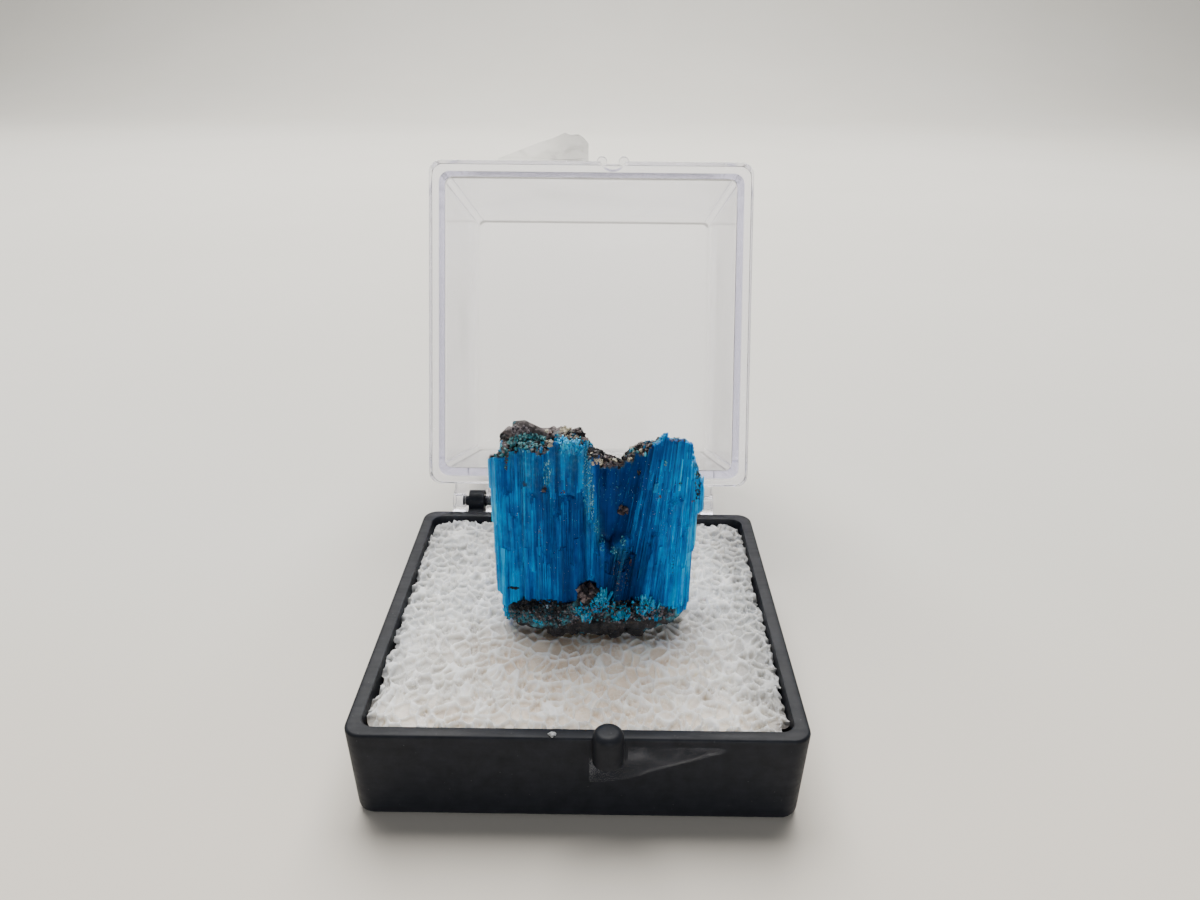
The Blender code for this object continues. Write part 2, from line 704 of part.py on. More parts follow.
def settled(name, form, level, material):
    """A rock made a part of its own, its foot cut flat where something carries it."""
    made = piece(name, evaluated_mesh(form), material)
    if level is not None:
        under = bmesh.new()
        bmesh.ops.create_cube(under, size=1.0)
        place = Matrix.Translation((0, 0, level - 3 * MM)) @ Matrix.Diagonal(
            (40 * MM, 40 * MM, 6 * MM, 1)
        )
        bmesh.ops.transform(under, matrix=place, verts=under.verts)
        combine(made, "DIFFERENCE", tool(f"{name}_under", under))
    return made


settled("lower_matrix", lower_form, ROCK_FOOT, dark_rock)
settled("upper_matrix", upper_form, None, dark_rock)
for spare in (lower_form, upper_form, lower_seat, upper_seat):
    bpy.data.objects.remove(spare, do_unlink=True)

# The moulded pieces and the pad are shaded smooth over their rounded corners
for made in (tray, foam, lid):
    mesh = evaluated_mesh(made)
    made.modifiers.clear()
    made.data = mesh
    mesh.shade_smooth()
    mesh.set_sharp_from_angle(angle=SHARP_ANGLE)
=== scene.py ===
"""Blue chalcanthite on white foam in a small black box with a clear hinged lid."""

import math
import random

import bmesh
import bpy
import numpy
from mathutils import Matrix, Vector, noise
from mathutils.bvhtree import BVHTree


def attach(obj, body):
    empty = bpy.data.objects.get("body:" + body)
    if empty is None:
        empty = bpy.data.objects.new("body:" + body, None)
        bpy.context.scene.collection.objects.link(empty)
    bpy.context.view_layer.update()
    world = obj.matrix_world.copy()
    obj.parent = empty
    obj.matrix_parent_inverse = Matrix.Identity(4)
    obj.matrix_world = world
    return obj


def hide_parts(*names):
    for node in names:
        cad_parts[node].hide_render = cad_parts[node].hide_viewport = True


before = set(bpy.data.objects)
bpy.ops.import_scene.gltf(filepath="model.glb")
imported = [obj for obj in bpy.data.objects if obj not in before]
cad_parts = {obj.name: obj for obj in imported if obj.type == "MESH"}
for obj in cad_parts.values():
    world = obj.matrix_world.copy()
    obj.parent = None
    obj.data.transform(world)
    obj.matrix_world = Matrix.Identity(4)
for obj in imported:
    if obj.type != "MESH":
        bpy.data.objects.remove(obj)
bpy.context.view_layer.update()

# Table, camera and light. The box stands on a plain pale table that curves up behind it, lit
# softly from above and a little behind, and is seen from the front, about 24 degrees down.
CAMERA_PLACE = Vector((1.6725, -63.558, 50.399))
CAMERA_RIGHT = Vector((0.99991, 0.01005, 0.00831))
CAMERA_UP = Vector((-0.01174, 0.41531, 0.90961))
CAMERA_AHEAD = Vector((-0.00569, 0.90963, -0.41539))
LENS = 27.55
CAMERA_FOCAL = LENS / 36 * 1200
TABLE_HALF_WIDTH = 1500
TABLE_BACK = 800
BACKDROP_RISE = 900


def srgb(red, green, blue):
    """A colour given as on a screen, 0 to 255, as Blender's linear values."""
    linear = []
    for value in (red / 255, green / 255, blue / 255):
        linear.append(value / 12.92 if value <= 0.04045 else ((value + 0.055) / 1.055) ** 2.4)
    return (*linear, 1.0)


class Finish:
    """A material whose nodes are added with short calls."""

    def __init__(self, name):
        self.material = bpy.data.materials.new(name)
        self.material.use_nodes = True
        self.tree = self.material.node_tree
        self.shader = self.tree.nodes["Principled BSDF"]
        self.place = self.add("ShaderNodeTexCoord").outputs["Object"]

    def add(self, kind, **settings):
        node = self.tree.nodes.new(kind)
        for key, value in settings.items():
            setattr(node, key, value)
        return node

    def put(self, socket, value):
        if isinstance(value, bpy.types.NodeSocket):
            self.tree.links.new(value, socket)
        else:
            socket.default_value = value

    def shade(self, **inputs):
        """Sets the shader's own inputs: Base_Color=..., Roughness=..."""
        for key, value in inputs.items():
            self.put(self.shader.inputs[key.replace("_", " ")], value)

    def attribute(self, name, output="Fac"):
        return self.add("ShaderNodeAttribute", attribute_name=name).outputs[output]

    def stretch(self, at, scale):
        node = self.add("ShaderNodeMapping")
        self.put(node.inputs["Vector"], at)
        node.inputs["Scale"].default_value = scale
        return node.outputs["Vector"]

    def grain(self, scale, detail=3.0, rough=0.5, at=None, warp=0.0):
        """Cloudy noise, scale in turns per metre."""
        node = self.add("ShaderNodeTexNoise")
        self.put(node.inputs["Vector"], self.place if at is None else at)
        for key, value in (("Scale", scale), ("Detail", detail), ("Roughness", rough)):
            node.inputs[key].default_value = value
        node.inputs["Distortion"].default_value = warp
        return node.outputs["Fac"]

    def cells(self, scale, at=None, feature="F1", output="Distance"):
        node = self.add("ShaderNodeTexVoronoi", feature=feature)
        self.put(node.inputs["Vector"], self.place if at is None else at)
        node.inputs["Scale"].default_value = scale
        return node.outputs[output]

    def ramp(self, share, *stops):
        """Colours along a value: pairs of position and colour."""
        node = self.add("ShaderNodeValToRGB")
        marks = node.color_ramp.elements
        while len(marks) < len(stops):
            marks.new(0.5)
        for mark, (position, colour) in zip(marks, stops):
            mark.position = position
            mark.color = colour
        self.put(node.inputs["Fac"], share)
        return node.outputs["Color"]

    def band(self, value, low, high, start=0.0, end=1.0):
        """The value from low to high becomes start to end, smoothly."""
        node = self.add("ShaderNodeMapRange", interpolation_type="SMOOTHSTEP")
        self.put(node.inputs["Value"], value)
        for key, level in (("From Min", low), ("From Max", high), ("To Min", start), ("To Max", end)):
            node.inputs[key].default_value = level
        return node.outputs["Result"]

    def mix(self, share, first, second, blend="MIX"):
        node = self.add("ShaderNodeMix", data_type="RGBA", blend_type=blend)
        self.put(node.inputs["Factor"], share)
        self.put(node.inputs[6], first)
        self.put(node.inputs[7], second)
        return node.outputs[2]

    def sum(self, operation, first, second):
        node = self.add("ShaderNodeMath", operation=operation)
        self.put(node.inputs[0], first)
        self.put(node.inputs[1], second)
        return node.outputs[0]

    def bump(self, height, depth, strength=1.0, under=None):
        """Relief of a depth in metres, on top of another relief."""
        node = self.add("ShaderNodeBump")
        node.inputs["Distance"].default_value = depth
        node.inputs["Strength"].default_value = strength
        self.put(node.inputs["Height"], height)
        if under is not None:
            self.put(node.inputs["Normal"], under)
        return node.outputs["Normal"]


def settle(name, shape, finish, sharp=None):
    """A shape drawn in millimetres becomes an object in metres; sharp is an angle in degrees."""
    bmesh.ops.scale(shape, vec=(0.001, 0.001, 0.001), verts=shape.verts)
    mesh = bpy.data.meshes.new(name)
    shape.to_mesh(mesh)
    shape.free()
    mesh.materials.append(finish.material)
    if sharp is not None:
        mesh.shade_smooth()
        mesh.set_sharp_from_angle(angle=math.radians(sharp))
    made = bpy.data.objects.new(name, mesh)
    bpy.context.scene.collection.objects.link(made)
    return made


camera_data = bpy.data.cameras.new("camera")
camera_data.lens = LENS
camera_data.sensor_width = 36
camera_data.clip_start = 0.002
camera_data.clip_end = 20
camera = bpy.data.objects.new("camera", camera_data)
bpy.context.scene.collection.objects.link(camera)
turned = Matrix((CAMERA_RIGHT, CAMERA_UP, -CAMERA_AHEAD)).transposed().to_4x4()
camera.matrix_world = Matrix.Translation(CAMERA_PLACE * 0.001) @ turned
bpy.context.scene.camera = camera

table_paint = Finish("pale_table")
table_cloud = table_paint.grain(9, 4, 0.6)
table_depth = table_paint.add("ShaderNodeSeparateXYZ")
table_paint.put(table_depth.inputs[0], table_paint.place)
table_paint.shade(
    Base_Color=table_paint.mix(
        table_paint.band(table_depth.outputs["Y"], -0.03, 0.03),
        table_paint.ramp(table_cloud, (0.3, srgb(219, 211, 199)), (0.7, srgb(224, 217, 206))),
        table_paint.ramp(table_cloud, (0.3, srgb(219, 216, 208)), (0.7, srgb(224, 221, 214))),
    ),
    Roughness=0.7,
    Specular_IOR_Level=0.2,
)
shape = bmesh.new()
bmesh.ops.create_grid(shape, x_segments=1, y_segments=1, size=TABLE_HALF_WIDTH)
for vert in shape.verts:
    vert.co.y = TABLE_BACK if vert.co.y > 0 else -TABLE_HALF_WIDTH
back_edge = [edge for edge in shape.edges if all(vert.co.y > 0 for vert in edge.verts)]
risen = bmesh.ops.extrude_edge_only(shape, edges=back_edge)["geom"]
risen_verts = [item for item in risen if isinstance(item, bmesh.types.BMVert)]
bmesh.ops.translate(shape, vec=(0, 0, BACKDROP_RISE), verts=risen_verts)
bmesh.ops.bevel(
    shape,
    geom=[e for e in shape.edges if all(v.co.y > 0 and v.co.z < 1 for v in e.verts)],
    offset=300,
    offset_type="OFFSET",
    segments=16,
    profile=0.5,
    affect="EDGES",
    material=-1,
)
bmesh.ops.recalc_face_normals(shape, faces=shape.faces)
table = settle("table", shape, table_paint, sharp=60)


def lamp(name, place, aim, size, power, colour):
    """A soft square light, its place and aim in millimetres."""
    data = bpy.data.lights.new(name, "AREA")
    data.size = size * 0.001
    data.energy = power
    data.color = colour[:3]
    made = bpy.data.objects.new(name, data)
    bpy.context.scene.collection.objects.link(made)
    direction = Vector(aim) - Vector(place)
    turn = direction.to_track_quat("-Z", "Y").to_matrix().to_4x4()
    made.matrix_world = Matrix.Translation(Vector(place) * 0.001) @ turn


lamp("back_light", (-30, 330, 540), (0, 0, 0), 560, 10.4, (1.0, 0.985, 0.955))
lamp("front_light", (150, -900, 205), (0, 0, 12), 320, 3.4, (0.95, 0.97, 1.0))
world = bpy.data.worlds.new("soft_room")
world.use_nodes = True
world.node_tree.nodes["Background"].inputs["Color"].default_value = (0.93, 0.96, 1.0, 1.0)
world.node_tree.nodes["Background"].inputs["Strength"].default_value = 0.14
bpy.context.scene.world = world

# Tray: one moulding of black polystyrene, open on top, with draft, rounded corners and a
# latch stud in front. Two ears behind carry the pins that the lid turns on.
TRAY_WALL = 1.06
TRAY_CORNER = 1.3
TRAY_HEIGHT = 7.4
BOX_HALF = 15.875
STUD = Vector((2.1, -16.4, 7.35))
HINGE = Vector((0, 17.53, 7.65))
EARS_AT = (-11.0, 10.1)
EAR_WIDTH = 1.5


def ring(shape, half, corner, level, steps=7):
    """A level square with round corners; returns its edges."""
    turn = Matrix.Translation((0, 0, level)) @ Matrix.Rotation(math.pi / 4, 4, "Z")
    square = bmesh.ops.create_circle(shape, segments=4, radius=half * math.sqrt(2), matrix=turn)
    rounded = bmesh.ops.bevel(
        shape,
        geom=square["verts"],
        offset=corner,
        offset_type="OFFSET",
        segments=steps,
        profile=0.5,
        affect="VERTICES",
        material=-1,
    )
    return list({edge for vert in rounded["verts"] for edge in vert.link_edges})


def round_over(half, corner, level, radius, down=False, steps=4):
    """The rings that round an outer edge at a level, from below it or down from above it."""
    rings = []
    for step in range(steps + 1):
        turn = math.pi / 2 * step / steps
        back = radius * (1 - math.sin(turn))
        rise = radius * (1 - math.cos(turn))
        rings.append((half - back, corner - back, level - rise if down else level + rise))
    return rings[::-1] if down else rings


def stack(shape, rings):
    """Round squares one after another, joined into one closed skin."""
    loops = [ring(shape, *each) for each in rings]
    for low, high in zip(loops, loops[1:]):
        bmesh.ops.bridge_loops(shape, edges=low + high)
    for end in (loops[0], loops[-1]):
        bmesh.ops.edgeloop_fill(shape, edges=end)


def post(shape, radius, depth, place, edge, sides=32):
    """An upright round post with its top edge rounded."""
    made = bmesh.ops.create_cone(
        shape, cap_ends=True, segments=sides, radius1=radius, radius2=radius, depth=depth, matrix=place
    )
    top = (place @ Vector((0, 0, depth / 2, 1))).xyz
    ahead = (place.to_3x3() @ Vector((0, 0, 1))).normalized()
    rim = {
        e
        for v in made["verts"]
        for e in v.link_edges
        if all((w.co - top).dot(ahead) > -0.001 for w in e.verts)
    }
    bmesh.ops.bevel(
        shape,
        geom=list(rim),
        offset=edge,
        offset_type="OFFSET",
        segments=5,
        profile=0.5,
        affect="EDGES",
        material=-1,
    )


def upright_plate(shape, outline, left, width):
    """A plate of an outline given in y and z, width thick from x left."""
    face = shape.faces.new([shape.verts.new((left, y, z)) for y, z in outline])
    grown = bmesh.ops.extrude_face_region(shape, geom=[face])["geom"]
    moved = [item for item in grown if isinstance(item, bmesh.types.BMVert)]
    bmesh.ops.translate(shape, vec=(width, 0, 0), verts=moved)


def arc(centre, radius, start, end, steps):
    angles = [math.radians(start + (end - start) * step / steps) for step in range(steps + 1)]
    return [(centre[0] + radius * math.cos(a), centre[1] + radius * math.sin(a)) for a in angles]


black_plastic = Finish("black_plastic")
scuffs = black_plastic.grain(900, 6, 0.65)
scratches = black_plastic.grain(
    1.0, 4, 0.6, at=black_plastic.stretch(black_plastic.place, (250, 2600, 2600))
)
dust = black_plastic.band(black_plastic.cells(1500), 0.02, 0.07, 1.0, 0.0)
black_plastic.shade(
    Base_Color=black_plastic.mix(
        dust,
        black_plastic.ramp(scuffs, (0.3, srgb(22, 24, 29)), (0.75, srgb(33, 35, 41))),
        srgb(70, 70, 72),
    ),
    Roughness=black_plastic.band(scratches, 0.35, 0.75, 0.42, 0.56),
    Specular_IOR_Level=0.13,
    Normal=black_plastic.bump(
        scratches, 0.000006, 0.3, black_plastic.bump(black_plastic.grain(3200, 2), 0.000008, 0.3)
    ),
)
shape = bmesh.new()
foot_half = 15.52
tray_rings = round_over(foot_half + 0.07, TRAY_CORNER, 0.0, 0.6)
tray_rings += round_over(BOX_HALF - 0.01, TRAY_CORNER, TRAY_HEIGHT, 0.22, down=True)
tray_rings += [
    (BOX_HALF - TRAY_WALL + 0.15, 1.05, TRAY_HEIGHT - 0.012),
    (BOX_HALF - TRAY_WALL + 0.04, 0.98, TRAY_HEIGHT - 0.05),
    (BOX_HALF - TRAY_WALL, 0.95, TRAY_HEIGHT - 0.16),
    (foot_half - TRAY_WALL + 0.1, 0.95, 1.7),
    (foot_half - TRAY_WALL - 0.1, 0.8, 1.35),
    (foot_half - TRAY_WALL - 0.5, 0.5, 1.2),
]
stack(shape, tray_rings)
post(shape, 1.05, 2.5, Matrix.Translation(STUD), 0.5)
ear_outline = [(BOX_HALF - 0.6, 4.8)]
ear_outline += arc(HINGE.yz, 1.08, -75, 195, 20)
ear_outline += [(BOX_HALF - 0.6, TRAY_HEIGHT - 0.1)]
across = Matrix.Rotation(math.pi / 2, 4, "Y")
for x in EARS_AT:
    upright_plate(shape, ear_outline, x - EAR_WIDTH / 2, EAR_WIDTH)
    bmesh.ops.create_cone(
        shape,
        cap_ends=True,
        segments=20,
        radius1=0.5,
        radius2=0.5,
        depth=2.8,
        matrix=Matrix.Translation((x, HINGE.y, HINGE.z)) @ across,
    )
bmesh.ops.recalc_face_normals(shape, faces=shape.faces)
tray = settle("black_tray", shape, black_plastic, sharp=32)
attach(tray, "base")
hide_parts("base_tray")

# Foam: a square of open-cell white packing foam cut by hand to fill the tray. Its cut top
# shows thin bright cell walls round shadowed pits, and its edge is torn ragged.
FOAM_TOP = 7.25
FOAM_HALF = 14.78
FOAM_ROUND = 2.0
FOAM_STEPS = 300
CELL = 0.98

foam_white = Finish("white_foam")
# Painted highlight: thin bright strands along the cell edges, where the walls catch the light; the same pattern
# also gives the bump.
thread_highlights = foam_white.band(
    foam_white.cells(2300, feature="DISTANCE_TO_EDGE"), 0.0, 0.06, 1.0, 0.0
)
thread_highlights = foam_white.sum(
    "MULTIPLY", thread_highlights, foam_white.band(foam_white.grain(800, 3), 0.42, 0.62, 0.15, 1.0)
)
# Painted shade in the hollows: the pits of the white foam are painted grey, and the wall tops ('wall') are
# painted full white.
shaded_grey_pit = foam_white.ramp(
    foam_white.grain(330, 4), (0.35, srgb(160, 161, 160)), (0.65, srgb(214, 216, 216))
)
# Painted warm light: under the specimen's front the pits are painted warmer and lighter, standing in for light
# passing through the crystal and foam; they are also warmer towards the front edge.
warm_lit_pit = foam_white.ramp(
    foam_white.grain(330, 4), (0.35, srgb(220, 200, 178)), (0.65, srgb(246, 232, 214))
)
pit = foam_white.mix(foam_white.attribute("warm_light_and_tint"), shaded_grey_pit, warm_lit_pit)
lit = foam_white.mix(foam_white.attribute("wall"), pit, srgb(252, 251, 248))
lit = foam_white.mix(foam_white.sum("MULTIPLY", thread_highlights, 0.6), lit, srgb(255, 255, 253))
foam_white.shade(
    # Painted shade: the 'shade' attribute greys the foam towards its edges and back.
    Base_Color=foam_white.mix(
        foam_white.sum("MULTIPLY", foam_white.attribute("shade"), 0.6), lit, srgb(96, 98, 100)
    ),
    Roughness=0.7,
    Subsurface_Weight=0.55,
    Subsurface_Radius=(0.0024, 0.0022, 0.0018),
    Subsurface_Scale=1.0,
    Normal=foam_white.bump(
        thread_highlights, 0.00006, 0.6, foam_white.bump(foam_white.grain(5200, 3), 0.00004, 0.5)
    ),
)


def step_up(value, low, high):
    """Rises smoothly from 0 at low to 1 at high."""
    share = min(1.0, max(0.0, (value - low) / (high - low)))
    return share * share * (3 - 2 * share)


shape = bmesh.new()
bmesh.ops.create_grid(shape, x_segments=FOAM_STEPS, y_segments=FOAM_STEPS, size=1.0)
flat = numpy.array([vert.co[:2] for vert in shape.verts])
reach = numpy.abs(flat).max(axis=1)
angle = numpy.arctan2(flat[:, 1], flat[:, 0])
spread_cos, spread_sin = numpy.abs(numpy.cos(angle)), numpy.abs(numpy.sin(angle))
square_edge = 1 / numpy.maximum(spread_cos, spread_sin)
inner = 1 - FOAM_ROUND / FOAM_HALF
along_corner = inner * (spread_cos + spread_sin)
corner_edge = along_corner + numpy.sqrt(
    numpy.maximum(along_corner**2 - 2 * inner**2 + (1 - inner) ** 2, 0)
)
in_corner = numpy.minimum(spread_cos, spread_sin) * square_edge > inner
round_edge = numpy.where(in_corner, corner_edge, square_edge)
flat *= (1 + (round_edge / square_edge - 1) * reach**5)[:, None] * FOAM_HALF
foam_layers = [shape.verts.layers.float.new(name) for name in ("wall", "warm_light_and_tint", "shade")]
for vert, (x, y), edge_share in zip(shape.verts, flat, reach):
    bend = noise.noise_vector(Vector((x, y, 3.0)) * 0.6) * 0.4
    spot = Vector(((x + bend.x) * 1.2, (y + bend.y) * 0.8, 0.0))
    gaps, seeds = noise.voronoi(spot / CELL)
    chance = abs(noise.cell(seeds[0] * 3.7))
    ridge = math.exp(-(((gaps[1] - gaps[0]) / (0.1 + 0.05 * chance)) ** 2))
    fine, _ = noise.voronoi(spot / (CELL * 0.5) + Vector((5, 3, 1)))
    fine_ridge = math.exp(-(((fine[1] - fine[0]) / 0.16) ** 2)) * (1.0 if chance > 0.55 else 0.3)
    beside = math.exp(-(((x - 1.2) / 7.5) ** 2) - ((y + 5.4) / 2.0) ** 2)
    depth = (0.28 + 0.42 * chance) * (1 - 0.9 * beside)
    height = FOAM_TOP - depth * (1 - ridge) * (1 - 0.45 * fine_ridge)
    height += 0.1 * noise.noise(Vector((x, y, 9.0)) * 0.35) - 0.06
    height += 0.2 * beside
    height += ridge * 0.09 * noise.noise(Vector((x, y, 2.0)) * 2.2)
    place = Vector((x, y, 4.0))
    ragged = 0.6 * max(0.0, noise.noise(place * 0.8)) + 0.4 * max(0.0, noise.noise(place * 2.4))
    ragged *= 0.35 if y < -12.5 and abs(x) < 12.5 else 1.0
    pull = ragged * step_up(edge_share, 0.92, 1.0) / FOAM_HALF
    vert.co = (x * (1 - pull), y * (1 - pull), height - 0.3 * step_up(edge_share, 0.97, 1.0))
    vert[foam_layers[0]] = min(1.0, ridge + 0.4 * fine_ridge)
    # Painted warm light under the specimen's front, and a warmer tone towards the front edge.
    vert[foam_layers[1]] = min(
        1.0,
        1.5 * math.exp(-(((x - 0.5) / 9.0) ** 2) - ((y + 7.0) / 4.5) ** 2) + 0.7 * step_up(-y, 9, 14),
    )
    # Painted shade: grey towards the right and left edges, towards the back, and a little left of centre.
    vert[foam_layers[2]] = min(
        1.0,
        0.8 * step_up(x, 10.5, 14.2)
        + 0.3 * step_up(-x, 12.5, 14.4)
        + 0.24 * step_up(y, 2, 12)
        + 0.12 * step_up(-x, 2, 9),
    )
border = [edge for edge in shape.edges if edge.is_boundary]
for level, inset in ((6.6, 0.97), (4.0, 0.95), (1.5, 0.94)):
    grown = bmesh.ops.extrude_edge_only(shape, edges=border)["geom"]
    border = [item for item in grown if isinstance(item, bmesh.types.BMEdge)]
    for vert in {v for e in border for v in e.verts}:
        vert.co = (vert.co.x * inset, vert.co.y * inset, level) if level == 6.6 else (
            vert.co.x * (0.99 if level == 1.5 else 1.0),
            vert.co.y * (0.99 if level == 1.5 else 1.0),
            level,
        )
bmesh.ops.edgeloop_fill(shape, edges=border)
bmesh.ops.recalc_face_normals(shape, faces=shape.faces)
foam = settle("foam_pad_cut", shape, foam_white, sharp=60)
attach(foam, "base")
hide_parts("foam_pad")

# A crumb of the foam that lies on the tray's front rim, where the photograph shows it
crumb = bmesh.new()
down_to = CAMERA_AHEAD * CAMERA_FOCAL + CAMERA_RIGHT * (552 - 600) - CAMERA_UP * (738 - 450)
crumb_at = CAMERA_PLACE + down_to * ((TRAY_HEIGHT - CAMERA_PLACE.z) / down_to.z)
for number, (x, y, size) in enumerate(((0, 0, 0.2), (-0.18, 0.1, 0.13), (0.13, 0.12, 0.12), (0.02, -0.14, 0.1))):
    at = Matrix.Translation(crumb_at + Vector((x, y + 0.25, size * 0.6)))
    bmesh.ops.create_icosphere(crumb, subdivisions=3, radius=size, matrix=at)
for vert in crumb.verts:
    vert.co += noise.noise_vector(vert.co * 6) * 0.07
    vert.co.z = TRAY_HEIGHT + min(0.26, 0.6 * max(0.0, vert.co.z - TRAY_HEIGHT))
crumb_piece = settle("foam_crumb", crumb, foam_white, sharp=60)
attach(crumb_piece, "base")

# Lid: one clear moulding of polystyrene with a faint lilac tint, about 1 mm thick, with a
# stepped flange at its mouth and lugs that clip over the tray's pins. It is drawn closed and
# then turned open about the pins.
LID_RIM = 7.7
LID_TOP = 30.2
MOUTH_HALF = 14.225
CEILING_HALF = 13.75
OPEN_ANGLE = math.radians(110.7)
LUG_WIDTH = 1.2


def carve(shape, tools, operation):
    """A shape joined with the closed bodies of another, or cut by them."""
    parts = []
    for each in (shape, tools):
        mesh = bpy.data.meshes.new("part")
        each.to_mesh(mesh)
        each.free()
        parts.append(bpy.data.objects.new("part", mesh))
        bpy.context.scene.collection.objects.link(parts[-1])
    cut = parts[0].modifiers.new("cut", "BOOLEAN")
    cut.operation = operation
    cut.solver = "EXACT"
    cut.object = parts[1]
    carved = bmesh.new()
    carved.from_mesh(parts[0].evaluated_get(bpy.context.evaluated_depsgraph_get()).to_mesh())
    for part in parts:
        bpy.data.objects.remove(part)
    return carved


clear_plastic = Finish("clear_plastic")
clear_plastic.shade(
    Base_Color=srgb(251, 251, 253),
    Roughness=clear_plastic.band(clear_plastic.grain(120, 4, 0.6), 0.4, 0.8, 0.1, 0.16),
    IOR=1.17,
    Transmission_Weight=0.96,
    Normal=clear_plastic.bump(clear_plastic.grain(160, 2), 0.00003, 0.2),
)
tint = clear_plastic.add("ShaderNodeVolumeAbsorption")
tint.inputs["Color"].default_value = (0.74, 0.73, 0.92, 1)
tint.inputs["Density"].default_value = 60
clear_plastic.tree.links.new(
    tint.outputs["Volume"], clear_plastic.tree.nodes["Material Output"].inputs["Volume"]
)
shape = bmesh.new()
lid_rings = [
    (CEILING_HALF - 0.5, 0.4, LID_TOP - 1.0),
    (CEILING_HALF - 0.14, 0.6, LID_TOP - 1.05),
    (CEILING_HALF, 0.7, LID_TOP - 1.35),
    (MOUTH_HALF, 0.7, LID_RIM + 0.1),
    (MOUTH_HALF + 0.06, 0.76, LID_RIM + 0.012),
]
lid_rings += round_over(BOX_HALF, 1.2, LID_RIM, 0.15)
lid_rings += round_over(BOX_HALF, 1.2, LID_RIM + 2.2, 0.15, down=True)
lid_rings += [
    (MOUTH_HALF + 1.1, 1.15, LID_RIM + 2.212),
    (MOUTH_HALF + 1.0, 1.1, LID_RIM + 2.3),
]
lid_rings += round_over(14.75, 1.1, LID_TOP, 0.4, down=True)
stack(shape, lid_rings)
bmesh.ops.recalc_face_normals(shape, faces=shape.faces)
lug_outline = [(HINGE.y + 1.12, HINGE.z - 1.12)]
lug_outline += arc(HINGE.yz, 1.08, 0, 70, 6)
lug_outline += [(BOX_HALF - 0.5, LID_RIM + 2.0), (BOX_HALF - 0.5, LID_RIM + 0.1)]
lug_outline += arc(HINGE.yz, 1.08, 180, 270, 8)
added, cuts = bmesh.new(), bmesh.new()
for x in EARS_AT:
    for side in (-1, 1):
        middle = x + side * ((EAR_WIDTH + LUG_WIDTH) / 2 + 0.3)
        upright_plate(added, lug_outline, middle - LUG_WIDTH / 2, LUG_WIDTH)
    at_pin = Matrix.Translation((x, HINGE.y, HINGE.z)) @ across
    bmesh.ops.create_cone(
        cuts, cap_ends=True, segments=24, radius1=0.6, radius2=0.6, depth=5.1, matrix=at_pin
    )
for side in (-1, 1):
    bump_at = Matrix.Translation((STUD.x + side * 1.08, -BOX_HALF - 0.28, LID_RIM + 1.6))
    post(added, 0.5, 0.6, bump_at, 0.15, sides=20)
notch_at = Matrix.Translation((STUD.x, STUD.y, LID_RIM + 0.35))
bmesh.ops.create_cone(
    cuts, cap_ends=True, segments=32, radius1=1.35, radius2=1.35, depth=1.7, matrix=notch_at
)
bmesh.ops.recalc_face_normals(added, faces=added.faces)
bmesh.ops.recalc_face_normals(cuts, faces=cuts.faces)
shape = carve(carve(shape, added, "UNION"), cuts, "DIFFERENCE")
bmesh.ops.rotate(
    shape, cent=HINGE, matrix=Matrix.Rotation(-OPEN_ANGLE, 3, "X"), verts=shape.verts
)
lid = settle("clear_lid", shape, clear_plastic, sharp=35)
even = lid.modifiers.new("even shading", "WEIGHTED_NORMAL")
even.keep_sharp = True
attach(lid, "lid")
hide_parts("lid")

# Tape: a strip of clear adhesive tape that sealed the box, torn across when it was opened.
# One half stays stuck to the tray's front, the other on the lid's flange with a loose flap.


def merged_copy(node):
    """A CAD node's own shape in millimetres, its loose triangles joined."""
    copied = bmesh.new()
    copied.from_mesh(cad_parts[node].data)
    bmesh.ops.remove_doubles(copied, verts=copied.verts, dist=1e-7)
    bmesh.ops.scale(copied, vec=(1000, 1000, 1000), verts=copied.verts)
    return copied


clear_tape = Finish("clear_tape")
crease = clear_tape.grain(420, 5, 0.6, warp=0.6)
torn = clear_tape.attribute("torn")
clear_tape.shade(
    # Painted highlight: the tape is drawn lighter along its torn edges, where the torn film catches the light.
    Base_Color=clear_tape.mix(torn, srgb(128, 130, 137), srgb(215, 216, 220)),
    Roughness=clear_tape.band(crease, 0.3, 0.7, 0.3, 0.5),
    IOR=1.47,
    Specular_IOR_Level=0.12,
    Alpha=clear_tape.sum(
        "ADD",
        clear_tape.band(crease, 0.45, 0.75, 0.02, 0.15),
        clear_tape.sum(
            "ADD",
            clear_tape.sum("MULTIPLY", torn, 0.05),
            clear_tape.sum("MULTIPLY", clear_tape.attribute("fold"), 0.22),
        ),
    ),
    Normal=clear_tape.bump(crease, 0.0002, 0.7),
)
for number, (node, body) in enumerate((("tape_on_base", "base"), ("tape_on_lid", "lid"))):
    shape = merged_copy(node)
    torn_layer = shape.verts.layers.float.new("torn")
    fold_layer = shape.verts.layers.float.new("fold")
    bmesh.ops.subdivide_edges(shape, edges=shape.edges, cuts=4, use_grid_fill=True)
    for vert in {v for e in shape.edges if e.calc_face_angle(0.0) > 0.8 for v in e.verts}:
        vert[torn_layer] = 0.0 if 6.7 < vert.co.z < 8 else (0.4 if vert.co.x > 0.8 and vert.co.x < 3.6 else 1.0)
    for vert in shape.verts:
        lift = noise.noise(vert.co * 0.9 + Vector((0, 0, 20 * number)))
        if number == 1:
            crumple = step_up(vert.co.x, -5.5, -2.0)
            vert[fold_layer] = 0.3 + 0.7 * crumple
            vert[torn_layer] *= 0.3
            vert.co.z += 0.3 * crumple * noise.noise(vert.co * 1.6)
            lift *= 1 + 2 * crumple
        else:
            vert.co.y -= 0.09
        vert.co.y -= 0.06 * abs(lift)
        vert.co.z += 0.04 * lift
    film = settle(f"torn_{node}", shape, clear_tape, sharp=25)
    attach(film, body)
    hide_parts(node)

